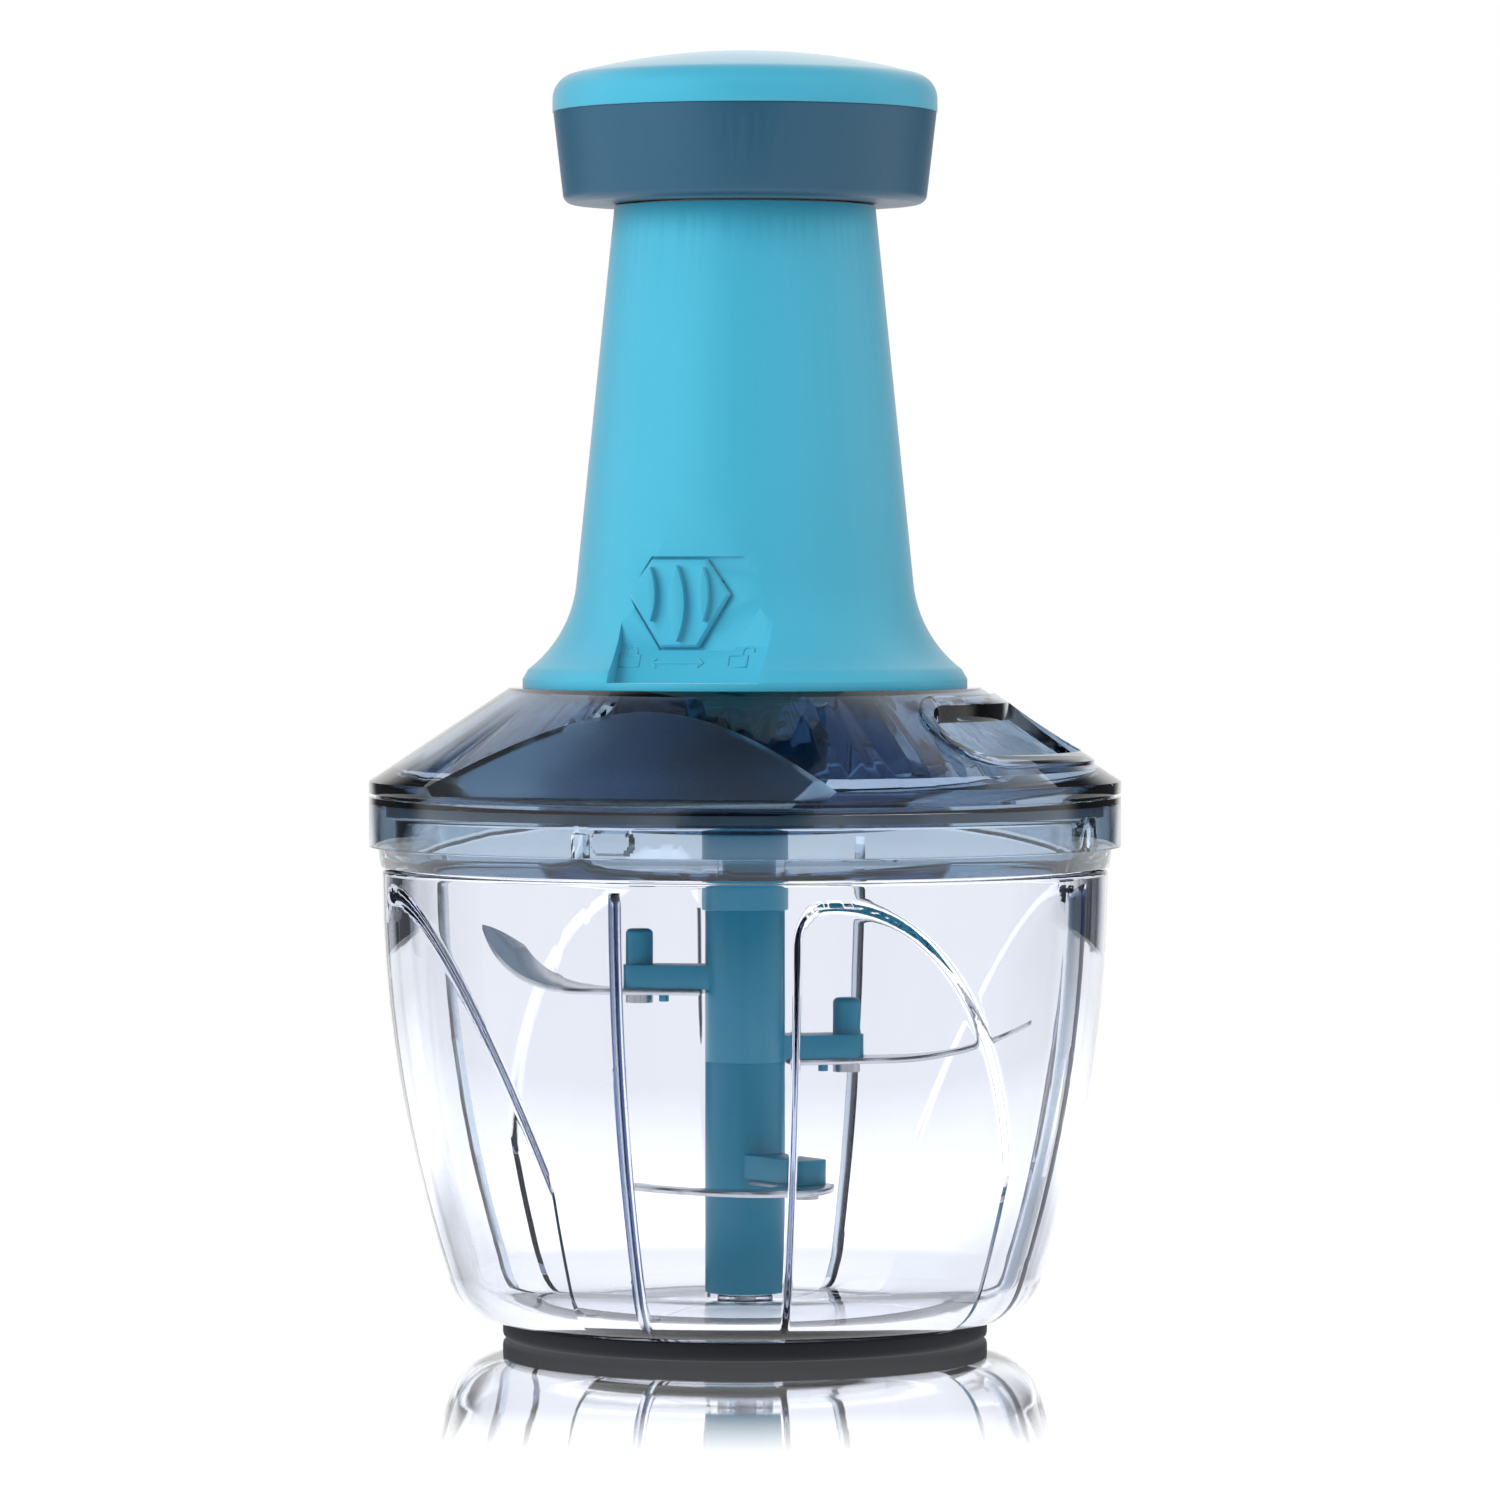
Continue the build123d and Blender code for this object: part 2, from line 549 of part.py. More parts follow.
def make_base_ring():
    middle = foot_mid_r()
    body = ring(middle + FOOT_W / 2, middle - FOOT_W / 2, 0, FOOT_H)
    edge = body.edges().group_by(Axis.Z)[0].sort_by(SortBy.RADIUS)[-1]
    body = fillet(edge, FOOT_EDGE_ROUND)
    half = FOOT_TONGUE_W / 2
    body += ring(middle + half, middle - half, FOOT_H, FOOT_H + FOOT_TONGUE_H)
    return body


def make_pivot_pin():
    pin = ring(PIN_R, 0, PIN_FOOT_Z, PIN_TOP_Z)
    return chamfer(pin.edges().sort_by(Axis.Z)[-1], PIN_R / 4)


# ---- lid ---------------------------------------------------------------------------------
def notch_az():
    """Azimuth of the gap in the flange, one twist away from the lug that it lets through."""
    return LUG_AZ + LID_OPEN_DEG


def make_lid_skirt():
    body = turned(
        (FLANGE_R, SKIRT_FOOT_Z), (BOWL_R + SKIRT_FOOT_OUT, SKIRT_FOOT_Z),
        (BOWL_R + SKIRT_LIP_OUT, SKIRT_BAND_Z - FIT_GAP), (LID_R, SKIRT_BAND_Z), (LID_R, SKIRT_TOP_Z),
        (SEAT_R, SKIRT_TOP_Z), (SEAT_R, PLATE_UNDER_Z), (SKIRT_IN_R, PLATE_UNDER_Z),
        (SKIRT_IN_R, FLANGE_TOP_Z), (FLANGE_R, FLANGE_TOP_Z))
    half = LUG_W / 2 + NOTCH_GAP
    reach = NECK_R + LUG_REACH + RUN_GAP
    notch = block(-half, half, -reach, -SEAT_R, SKIRT_FOOT_Z, FLANGE_TOP_Z)
    body -= around(LUG_COUNT, notch_az(), notch & ring(reach, SEAT_R, SKIRT_FOOT_Z, FLANGE_TOP_Z))
    lug_half_deg = degrees(asin(LUG_W / 2 / NECK_R))
    stop_az = LUG_AZ - lug_half_deg - degrees((STOP_W / 2 + RUN_GAP) / NECK_R)
    stop = block(-STOP_W / 2, STOP_W / 2, -SKIRT_IN_R, -FLANGE_R, FLANGE_TOP_Z, PLATE_UNDER_Z)
    trim = ring(SKIRT_IN_R + FIT_GAP, FLANGE_R, FLANGE_TOP_Z, FLANGE_TOP_Z + LUG_H)
    stop = stop & trim
    return body + around(LUG_COUNT, stop_az, stop)


def make_lid_gasket():
    return ring(GASKET_IN_R + GASKET_W, GASKET_IN_R, PLATE_UNDER_Z - GASKET_H, PLATE_UNDER_Z)


def cover_z(radius):
    """Height of the cover's outer cone at a radius."""
    return LID_TOP_Z - (radius - LID_TOP_R) * COVER_SLOPE


def facet_cut(inset, low):
    """Everything outside the two grip facets, or outside faces that lie further in."""
    top_z = cover_z(FACET_TOP_R)
    plane = Pos(0, -FACET_TOP_R, top_z) * Rot(-FACET_LEAN, 0, 0) * Pos(0, inset, 0)
    slab = plane * block(-LID_R, LID_R, -LID_R, 0, -LID_TOP_Z, LID_TOP_Z)
    keep = block(-2 * LID_R, 2 * LID_R, -2 * LID_R, 2 * LID_R, low, 2 * LID_TOP_Z)
    return around(2, LUG_AZ, slab & keep)


def pour_prism(grow):
    """The pour opening on the +X side: a slot with round ends along an arc, in line with a lug."""
    middle = CenterArc((0, 0), POUR_MID_R, LUG_AZ - POUR_HALF_DEG, 2 * POUR_HALF_DEG)
    outline = SlotArc(middle, POUR_W + 2 * grow)
    return Pos(0, 0, SKIRT_TOP_Z) * extrude(outline, LID_TOP_Z - SKIRT_TOP_Z)


def cover_solid(raise_z):
    """The cover's outer form as one solid, or the same form raised for the pour lips."""
    top = LID_TOP_Z + raise_z
    bead_top = BEAD_Z + BEAD_H + raise_z
    step_r = LID_R - BEAD_UNDERCUT
    return turned((0, SKIRT_TOP_Z), (step_r, SKIRT_TOP_Z), (step_r, BEAD_Z), (LID_R, BEAD_Z),
                  (LID_R, bead_top), (LID_TOP_R, top), (0, top))


def cover_hollow():
    drop = LID_WALL * sqrt(1 + COVER_SLOPE ** 2)
    low = cover_z(COVER_SEAT_R) - drop
    top_r = LID_TOP_R - (drop - LID_WALL) / COVER_SLOPE
    hollow = turned((0, SKIRT_TOP_Z), (COVER_SEAT_R, SKIRT_TOP_Z), (COVER_SEAT_R, low),
                    (top_r, COVER_PLATE_Z), (0, COVER_PLATE_Z))
    return hollow - facet_cut(LID_WALL, 0)


def make_lid_cover():
    body = cover_solid(0) - facet_cut(0, FACET_FOOT_Z)
    body += (pour_prism(POUR_LIP) & cover_solid(POUR_LIP_H)) - facet_cut(-POUR_LIP, FACET_FOOT_Z)
    body -= cover_hollow()
    body -= pour_prism(0)
    body -= ring(SPINDLE_BUSH_R + FIT_GAP, 0, COVER_PLATE_Z, LID_TOP_Z)
    for place in base_screw_places():
        body -= place * ring(BASE_SCREW_R + SCREW_GAP, 0, COVER_PLATE_Z, LID_TOP_Z)
    return body


def base_screw_places():
    step = 360 / BASE_SCREW_COUNT
    return [at(BASE_SCREW_AZ + step * index, BASE_SCREW_PCD_R) for index in range(BASE_SCREW_COUNT)]


def make_drive_housing():
    """A bell under the cover that holds the one-way clutch, with a hole for the socket."""
    top = COVER_PLATE_Z
    wall = HOUSING_WALL
    body = turned(
        (0, HOUSING_FLOOR_Z), (HOUSING_R, HOUSING_FLOOR_Z), (HOUSING_R, HOUSING_CONE_Z),
        (HOUSING_TOP_R, top), (HOUSING_TOP_R - wall, top), (HOUSING_R - wall, HOUSING_CONE_Z),
        (HOUSING_R - wall, WASHER_Z), (0, WASHER_Z))
    return body - ring(SOCKET_R + RUN_GAP, 0, HOUSING_FLOOR_Z, WASHER_Z)


def make_thrust_washer():
    return ring(SOCKET_FLANGE_R, SOCKET_R + RUN_GAP, WASHER_Z, WASHER_Z + WASHER_H)


def make_spindle_bush():
    body = ring(SPINDLE_BUSH_R, 0, COVER_PLATE_Z, BASE_TOP_Z)
    body += ring(SPINDLE_BUSH_FLANGE_R, 0, BUSH_FLANGE_Z, COVER_PLATE_Z)
    return body - ring(SPINDLE_BUSH_BORE, 0, BUSH_FLANGE_Z, BASE_TOP_Z)


# ---- handle ------------------------------------------------------------------------------
def handle_r(height):
    """Radius of the handle's straight taper at a height."""
    share = (height - HANDLE_NECK_Z) / (HANDLE_TOP_Z - HANDLE_NECK_Z)
    return HANDLE_NECK_R + (HANDLE_TOP_R - HANDLE_NECK_R) * share


def handle_form(inset, low, high):
    """The handle's form: a taper that flares out at its foot."""
    rise = (HANDLE_TOP_Z - HANDLE_NECK_Z, HANDLE_TOP_R - HANDLE_NECK_R)
    top = (handle_r(high) - inset, high)
    neck = (HANDLE_NECK_R - inset, HANDLE_NECK_Z)
    flare = (FLARE_R - inset, FLARE_Z)
    foot = (HANDLE_FOOT_R - inset, low + HANDLE_FOOT_EDGE)
    return spun(
        Line((0, high), top), Line(top, neck),
        TangentArc(neck, flare, tangent=(-rise[1], -rise[0])),
        Line(flare, foot), Line(foot, (foot[0], low)),
        Line((foot[0], low), (0, low)), Line((0, low), (0, high)))


def panel_space(front, back, grow, low, high):
    """The room in front of the flat panel, from a plane outwards."""
    half = PANEL_HALF_W + grow
    return block(-half, half, -back, -front, low, high)


def panel_cut():
    """The room in front of the thumb slide's panel, whose foot leans outwards."""
    far = 2 * PANEL_Y
    profile = outlined(Polyline(
        (PANEL_Y, PANEL_TOP_Z), (far, PANEL_TOP_Z), (far, PANEL_FOOT_Z),
        (PANEL_Y + PANEL_FOOT_OUT, PANEL_FOOT_Z), (PANEL_Y, PANEL_FOOT_Z + PANEL_BEND_H),
        close=True))
    return extrude(side_plane(0) * profile, PANEL_HALF_W, both=True)


def hexagon(half_w, grow):
    """The thumb slide's outline round its side points, seen from the front."""
    wide = half_w + grow
    widen = half_w - BUTTON_HALF_W + grow * POCKET_MITRE
    top = BUTTON_TOP_HALF + widen
    foot = BUTTON_FOOT_HALF + widen
    points = [(-wide, 0), (-top, BUTTON_UP + grow), (top, BUTTON_UP + grow),
              (wide, 0), (foot, -BUTTON_DOWN - grow), (-foot, -BUTTON_DOWN - grow)]
    return outlined(Polyline(*points, close=True))


def front_prism(face, x, z, front, back):
    """A prism on a face seen from the front, between two depths in front of the axis."""
    place = Plane(origin=(x, -back, z), x_dir=(1, 0, 0), z_dir=(0, -1, 0))
    return extrude(place * face, front - back)


def base_boss(radius, low, high):
    return [place * ring(radius, 0, low, high) for place in base_screw_places()]


def make_handle_shell():
    outside = handle_form(0, LID_TOP_Z, HANDLE_TOP_Z)
    hollow = handle_form(HANDLE_WALL, LID_TOP_Z, HANDLE_TOP_Z)
    hollow -= panel_space(PAD_Y, 2 * PANEL_Y, 2 * RUN_GAP, 0, PANEL_TOP_Z + HANDLE_WALL)
    body = outside - hollow
    boss_low = BASE_TOP_Z + FIT_GAP
    boss_high = LID_TOP_Z + BASE_SCREW_LEN + BASE_BOSS_WALL
    for boss in base_boss(BASE_SCREW_R + BASE_BOSS_WALL, boss_low, boss_high):
        body += boss & outside
    for web in boss_webs(boss_low, boss_high):
        body += web & outside
    for hole in base_boss(BASE_SCREW_R + SCREW_GAP, boss_low, LID_TOP_Z + BASE_SCREW_LEN):
        body -= hole
    body -= panel_cut()
    body -= front_prism(hexagon(BUTTON_HALF_W + LOCK_TRAVEL / 2, POCKET_GAP), 0, LOCK_Z,
                        2 * PANEL_Y, POCKET_Y)
    half = LOCK_TRAVEL / 2 + SLIDE_NECK_HALF_W + RUN_GAP
    high = SLIDE_NECK_HALF_H + RUN_GAP
    slot = block(-half, half, -PANEL_Y, -PAD_Y + FIT_GAP, LOCK_Z - high, LOCK_Z + high)
    return body - slot


def boss_webs(low, high):
    """Webs that tie the screw bosses to the handle's wall."""
    webs = []
    step = 360 / BASE_SCREW_COUNT
    web = block(-HANDLE_WALL / 2, HANDLE_WALL / 2, -HANDLE_FOOT_R, -BASE_SCREW_PCD_R, low, high)
    for index in range(BASE_SCREW_COUNT):
        webs.append(Rot(0, 0, BASE_SCREW_AZ + step * index) * web)
    return webs


def make_handle_base():
    """The plate in the handle's foot; its boss centres the return spring."""
    rim = HANDLE_FOOT_R - HANDLE_WALL - RUN_GAP
    inner = handle_form(HANDLE_WALL + RUN_GAP, LID_TOP_Z, HANDLE_TOP_Z)
    body = ring(rim, 0, LID_TOP_Z, BASE_TOP_Z) & inner
    body += ring(BASE_BOSS_R, 0, BASE_TOP_Z, BASE_TOP_Z + BASE_BOSS_H)
    body -= ring(SPINDLE_BUSH_R + FIT_GAP, 0, LID_TOP_Z, BASE_TOP_Z + BASE_BOSS_H)
    body -= panel_space(PAD_Y - FIT_GAP, 2 * PANEL_Y, RUN_GAP * 3, LID_TOP_Z, BASE_TOP_Z)
    for hole in base_boss(BASE_SCREW_R + SCREW_GAP, LID_TOP_Z, BASE_TOP_Z):
        body -= hole
    return body


def make_base_screws():
    shape = screw(BASE_SCREW_R, BASE_SCREW_HEAD_R, BASE_SCREW_HEAD_H, BASE_SCREW_LEN)
    seat = Pos(0, 0, COVER_PLATE_Z)
    return group([place * seat * shape for place in base_screw_places()])


def make_guide_bush():
    """The sleeve at the handle's top that the plunger tube runs in."""
    low = BUSH_FOOT_Z
    high = HANDLE_TOP_Z - FIT_GAP
    inset = HANDLE_WALL + FIT_GAP
    bore = TUBE_R + RUN_GAP
    return turned((bore, low), (handle_r(low) - inset, low), (handle_r(high) - inset, high),
                  (bore, high))


# ---- knob and plunger --------------------------------------------------------------------
def dome_arc(inset):
    """The knob's top curve from the axis to its side."""
    side = (KNOB_R - inset, KNOB_EDGE_Z - inset)
    top = (0, KNOB_TOP_Z - inset)
    rise = top[1] - side[1]
    radius = (side[0] ** 2 + rise ** 2) / (2 * rise)
    half = side[0] / 2
    middle = (half, top[1] - radius + sqrt(radius ** 2 - half ** 2))
    return ThreePointArc(top, middle, side)


def knob_form(inset, low):
    """The cap's outer form, or its hollow, down to a height."""
    side = KNOB_R - inset
    edge = KNOB_EDGE_Z - inset
    half = outlined(dome_arc(inset), Line((side, edge), (side, low)), Line((side, low), (0, low)),
                    Line((0, low), (0, KNOB_TOP_Z - inset)))
    corner = half.vertices().sort_by_distance((side, edge))[0]
    half = fillet(corner, max(KNOB_EDGE_ROUND - inset, KNOB_EDGE_ROUND / 2))
    return revolve(Plane.XZ * half, Axis.Z)


def make_knob_cap():
    body = knob_form(0, KNOB_SEAM_Z) - knob_form(KNOB_WALL, KNOB_SEAM_Z)
    spigot_r = KNOB_R - KNOB_WALL - FIT_GAP
    body += ring(spigot_r, spigot_r - KNOB_WALL, KNOB_SEAM_Z - SPIGOT_H, KNOB_SEAM_Z)
    body += ring(KNOB_R - KNOB_WALL / 2, spigot_r - KNOB_WALL, KNOB_SEAM_Z, KNOB_SEAM_Z + KNOB_WALL)
    inside = knob_form(KNOB_WALL / 2, TUBE_TOP_Z - TUBE_WEB)
    sleeve = ring(TUBE_R + FIT_GAP + KNOB_WALL, TUBE_R + FIT_GAP, sleeve_top_z(), KNOB_TOP_Z)
    body += sleeve & inside
    for place in knob_screw_places():
        boss = place * ring(KNOB_BOSS_R, 0, TUBE_TOP_Z, KNOB_TOP_Z)
        body += boss & inside
    for place in knob_screw_places():
        body -= place * ring(KNOB_SCREW_R + SCREW_GAP, 0, TUBE_TOP_Z, screw_tip_z() + FIT_GAP)
    return body


def screw_tip_z():
    return TUBE_TOP_Z - TUBE_WEB + KNOB_SCREW_LEN


def sleeve_top_z():
    """Height at which the cap's sleeve stands on the ring's sleeve."""
    return TUBE_TOP_Z - TUBE_WEB


def knob_screw_places():
    step = 360 / KNOB_SCREW_COUNT
    return [at(step * index, KNOB_SCREW_PCD_R) for index in range(KNOB_SCREW_COUNT)]


def make_knob_ring():
    floor_top = KNOB_FOOT_Z + RING_FLOOR
    seat = TUBE_R + FIT_GAP
    sleeve = seat + KNOB_WALL
    top = KNOB_SEAM_Z
    spigot_r = KNOB_R - KNOB_WALL
    body = turned(
        (seat, KNOB_FOOT_Z), (RING_FOOT_R, KNOB_FOOT_Z), (RING_TOP_R, top), (spigot_r, top),
        (spigot_r, top - SPIGOT_H - FIT_GAP), (RING_FOOT_R - KNOB_WALL, floor_top),
        (sleeve, floor_top), (sleeve, sleeve_top_z()), (seat, sleeve_top_z()))
    foot = body.edges().filter_by(GeomType.CIRCLE).filter_by(lambda e: e.radius > sleeve + 1)
    foot = foot.group_by(Axis.Z)[0]
    return fillet(foot, RING_EDGE_ROUND)


def make_plunger_tube():
    inner = TUBE_R - TUBE_WALL
    body = ring(TUBE_R, inner, TUBE_FOOT_Z, TUBE_TOP_Z)
    body += ring(TUBE_R, 0, TUBE_TOP_Z - TUBE_WEB, TUBE_TOP_Z)
    body += ring(inner + FIT_GAP, NUT_R + FIT_GAP, NUT_SHELF_Z, NUT_SHELF_Z + NUT_SHELF_H)
    stop = ring(TUBE_STOP_R, inner, TUBE_FOOT_Z, TUBE_FOOT_Z + TUBE_STOP_H)
    gap = LOCK_TRAVEL / 2 + FINGER_W / 2 + 2 * RUN_GAP
    stop -= block(-gap, gap, -2 * TUBE_STOP_R, -TUBE_R, 0, HANDLE_TOP_Z)
    body += stop
    centre = STRIP_W / 2 + 2 * RUN_GAP
    body -= ring(centre, 0, TUBE_TOP_Z - TUBE_WEB, TUBE_TOP_Z)
    for place in knob_screw_places():
        body -= place * ring(KNOB_SCREW_R + SCREW_GAP, 0, TUBE_TOP_Z - TUBE_WEB, TUBE_TOP_Z)
    return body


def make_knob_screws():
    shape = screw(KNOB_SCREW_R, KNOB_SCREW_HEAD_R, KNOB_SCREW_HEAD_H, KNOB_SCREW_LEN)
    seat = Pos(0, 0, TUBE_TOP_Z - TUBE_WEB)
    return group([place * seat * shape for place in knob_screw_places()])


# ---- twisted drive -----------------------------------------------------------------------
def twisted(width, thick, low, high):
    """A strip twisted about the axis; its angle is 0 where the twist starts."""
    section = (Pos(0, 0, low) * Rectangle(width, thick)).face()
    turn = 360 * (high - low) / LEAD
    body = Solid.extrude_linear_with_rotation(section, (0, 0, low), (0, 0, high - low), turn)
    return Rot(0, 0, 360 * (low - ROTOR_HUB_TOP_Z) / LEAD) * Part(children=[body])


def make_drive_spindle():
    straight = block(-STRIP_W / 2, STRIP_W / 2, -STRIP_T / 2, STRIP_T / 2, ROTOR_Z, ROTOR_HUB_TOP_Z)
    straight -= cross_rod(SPINDLE_PIN_R + FIT_GAP, STRIP_W)
    return straight + twisted(STRIP_W, STRIP_T, ROTOR_HUB_TOP_Z, STRIP_TOP_Z)


def cross_rod(radius, length):
    """A rod, or the hole for it, that lies across the rotor's hub and the strip."""
    height = (ROTOR_TOP_Z + ROTOR_HUB_TOP_Z) / 2
    return Pos(0, 0, height) * Rot(90, 0, 0) * Cylinder(radius, length)


def make_spindle_pin():
    return cross_rod(SPINDLE_PIN_R, 2 * (ROTOR_HUB_R - FIT_GAP))


def ratchet_teeth(low, high, up):
    """Saw teeth on a ring: a ramp that ends in an upright face."""
    step = 360 / TOOTH_COUNT
    inner = TOOTH_IN_R
    run = inner * sin(radians(step)) * TOOTH_FILL
    rise = high - low
    points = [(0, 0), (run, 0), (0, rise)] if up else [(0, rise), (run, rise), (0, 0)]
    profile = Plane(origin=(0, -inner, low), x_dir=(1, 0, 0), z_dir=(0, -1, 0))
    tooth = extrude(profile * outlined(Polyline(*points, close=True)), ROTOR_R - inner)
    return around(TOOTH_COUNT, step / 4, tooth & ring(ROTOR_R, inner, low, high))


def make_ratchet_rotor():
    body = ring(ROTOR_R, 0, ROTOR_Z, ROTOR_TOP_Z)
    body += ring(ROTOR_HUB_R, 0, ROTOR_TOP_Z, ROTOR_HUB_TOP_Z)
    body += ratchet_teeth(ROTOR_Z - TOOTH_H, ROTOR_Z, False)
    half_w = STRIP_W / 2 + FIT_GAP
    half_t = STRIP_T / 2 + FIT_GAP
    body -= block(-half_w, half_w, -half_t, half_t, ROTOR_Z, ROTOR_HUB_TOP_Z)
    return body - cross_rod(SPINDLE_PIN_R + FIT_GAP, 2 * (ROTOR_HUB_R + FIT_GAP))


def make_ratchet_driver():
    body = ring(ROTOR_R, 0, DRIVER_Z, DRIVER_TOOTH_Z)
    body += ratchet_teeth(DRIVER_TOOTH_Z, DRIVER_TOOTH_Z + TOOTH_H, True)
    half = KEY_W / 2
    body += block(-half, half, -half, half, DRIVER_Z - KEY_LEN, DRIVER_Z)
    tip = SOCKET_WEB_Z + DRIVE_SCREW_LEN + FIT_GAP
    return body - ring(DRIVE_SCREW_R + SCREW_GAP, 0, DRIVER_Z - KEY_LEN, tip)


def make_helix_nut():
    body = ring(NUT_R, 0, NUT_FLANGE_Z, NUT_TOP_Z)
    body += ring(NUT_FLANGE_R, 0, NUT_FLANGE_Z, NUT_SHELF_Z)
    body -= ring(NUT_R, NUT_R - NUT_CLIP_GROOVE, NUT_CLIP_Z, NUT_CLIP_Z + NUT_CLIP_H + FIT_GAP)
    wide = STRIP_W + 2 * SLOT_GAP
    thick = STRIP_T + 2 * SLOT_GAP
    return body - twisted(wide, thick, NUT_FLANGE_Z, NUT_TOP_Z)


def make_nut_clip():
    inner = NUT_R - NUT_CLIP_GROOVE + FIT_GAP
    top = NUT_CLIP_Z + NUT_CLIP_H
    body = ring(inner + NUT_CLIP_W, inner, NUT_CLIP_Z, top)
    gap = NUT_R / 2
    return body - block(-gap, gap, 0, 2 * NUT_R, NUT_CLIP_Z, top)


def make_return_spring():
    return coil(SPRING_R, SPRING_WIRE_R, BASE_TOP_Z + FIT_GAP, NUT_FLANGE_Z - FIT_GAP, SPRING_TURNS)


def make_clutch_spring():
    return coil(CLUTCH_SPRING_R, CLUTCH_WIRE_R, ROTOR_TOP_Z + RUN_GAP, COVER_PLATE_Z - FIT_GAP,
                CLUTCH_TURNS)


def make_drive_socket():
    """The square socket that reaches down from the clutch to the blade hub."""
    body = ring(SOCKET_R, 0, SOCKET_FOOT_Z, DRIVER_Z)
    body += ring(SOCKET_FLANGE_R, 0, SOCKET_FLANGE_Z, DRIVER_Z)
    half = KEY_W / 2 + KEY_GAP
    body -= block(-half, half, -half, half, SOCKET_FOOT_Z, SOCKET_WEB_Z)
    body -= block(-half, half, -half, half, SOCKET_WEB_Z + SOCKET_WEB, DRIVER_Z)
    return body - ring(DRIVE_SCREW_R + SCREW_GAP, 0, SOCKET_WEB_Z, SOCKET_WEB_Z + SOCKET_WEB)


def make_drive_screw():
    shape = screw(DRIVE_SCREW_R, DRIVE_SCREW_HEAD_R, DRIVE_SCREW_HEAD_H, DRIVE_SCREW_LEN)
    return Pos(0, 0, SOCKET_WEB_Z) * shape


# ---- blade unit --------------------------------------------------------------------------
def arm(height, post_h):
    """A blade arm that points to the front, with a stake and a post or none for its screw."""
    body = block(-ARM_W / 2, ARM_W / 2, -ARM_REACH, 0, height, height + ARM_H)
    body = fillet(body.edges().filter_by(Axis.Z).group_by(Axis.Y)[0], ARM_W / 3)
    place = Pos(0, -post_reach(), 0)
    if post_h > 0:
        post = ring(POST_R, 0, height, height + ARM_H + post_h)
        post = fillet(post.edges().group_by(Axis.Z)[-1], POST_ROUND)
        body += place * post
    body += Pos(0, -stake_reach(), 0) * ring(STAKE_R, 0, height - STAKE_LEN, height)
    hole = ring(BLADE_SCREW_R + SCREW_GAP, 0, height, height + screw_depth(post_h))
    return body - place * hole


def screw_depth(post_h):
    """How deep a blade screw's hole goes into its arm and post."""
    return ARM_H + post_h - BLADE_SCREW_COVER


def post_reach():
    return ARM_REACH - POST_INSET


def stake_reach():
    return ARM_REACH - STAKE_INSET


def make_blade_hub_upper():
    body = ring(HUB_R, 0, HUB_SEAM_Z, HUB_TOP_Z)
    half = KEY_W / 2
    key_top = SOCKET_WEB_Z - DRIVE_SCREW_HEAD_H - RUN_GAP
    body += block(-half, half, -half, half, HUB_TOP_Z, key_top)
    body += Rot(0, 0, UPPER_AZ) * arm(UPPER_ARM_Z, POST_H)
    body += Rot(0, 0, MIDDLE_AZ) * arm(MIDDLE_ARM_Z, POST_H)
    bore_top = HUB_SEAM_Z + HUB_SPIGOT_H + FIT_GAP
    return body - ring(HUB_SPIGOT_R + FIT_GAP, 0, HUB_SEAM_Z, bore_top)


def make_blade_hub_lower():
    body = ring(HUB_R, 0, HUB_FOOT_Z, HUB_SEAM_Z)
    body += ring(HUB_SPIGOT_R, 0, HUB_SEAM_Z, HUB_SEAM_Z + HUB_SPIGOT_H)
    body += Rot(0, 0, LOWER_AZ) * arm(LOWER_ARM_Z, 0)
    return body - ring(PIN_R + RUN_GAP, 0, HUB_FOOT_Z, PIN_TOP_Z + 2 * RUN_GAP)


def blade_plan(point, bulge):
    """The blade seen from above: a straight root under the arm, then a trailing sickle."""
    half = BLADE_W / 2
    root = HUB_R + BLADE_ROOT_GAP
    start = Vector(half, -ARM_REACH)
    along = (point - start).normalized()
    aside = Vector(along.Y, -along.X)
    rear = Vector(-half, half - ARM_REACH)
    corner = point - along * TIP_LEN + aside * TIP_W
    return outlined(
        Line((-half, -root), (half, -root)), Line((half, -root), start),
        ThreePointArc(start, (start + point) / 2 - aside * bulge, point),
        ThreePointArc(point, (point + corner) / 2 + along * TIP_ROUND, corner),
        ThreePointArc(corner, (corner + rear) / 2 - aside * (bulge * REAR_BULGE), rear),
        Line(rear, (-half, -root)))


def blade_side(run, rise):
    """The blade seen from the side: flat under its arm, then curving up along a run."""
    start = (ARM_REACH + BLADE_BEND_GAP, 0)
    end = (ARM_REACH + run, rise)
    low = [Line((0, 0), start), TangentArc(start, end, tangent=(1, 0))]
    high = [Pos(0, BLADE_T) * edge for edge in low]
    sides = [Line((0, 0), (0, BLADE_T)), Line(end, (end[0], end[1] + BLADE_T))]
    return outlined(*low, *high, *sides)


def blade(arm_z, rise, point, bulge, skew):
    """One blade under its arm, which points to the front; it rises along a skewed line."""
    under = arm_z - BLADE_T
    tall = Pos(0, 0, under) * extrude(blade_plan(point, bulge), 2 * rise + 4 * BLADE_T)
    run = (point - Vector(0, -ARM_REACH)).length + 2 * BLADE_T
    sheet = extrude(side_plane(under) * blade_side(run, rise), ARM_REACH + run, both=True)
    sheet = Pos(0, -ARM_REACH) * Rot(0, 0, -skew) * Pos(0, ARM_REACH) * sheet
    body = tall & sheet
    body -= Pos(0, -post_reach(), 0) * ring(BLADE_SCREW_R + SCREW_GAP, 0, under, arm_z)
    return body - Pos(0, -stake_reach(), 0) * ring(STAKE_R + FIT_GAP, 0, under, arm_z)


def sickle(arm_z, rise):
    return blade(arm_z, rise, Vector(-BLADE_SWEEP, -BLADE_REACH), BLADE_BULGE, BLADE_SKEW)


def make_blade_upper():
    return Rot(0, 0, UPPER_AZ) * sickle(UPPER_ARM_Z, UPPER_RISE)


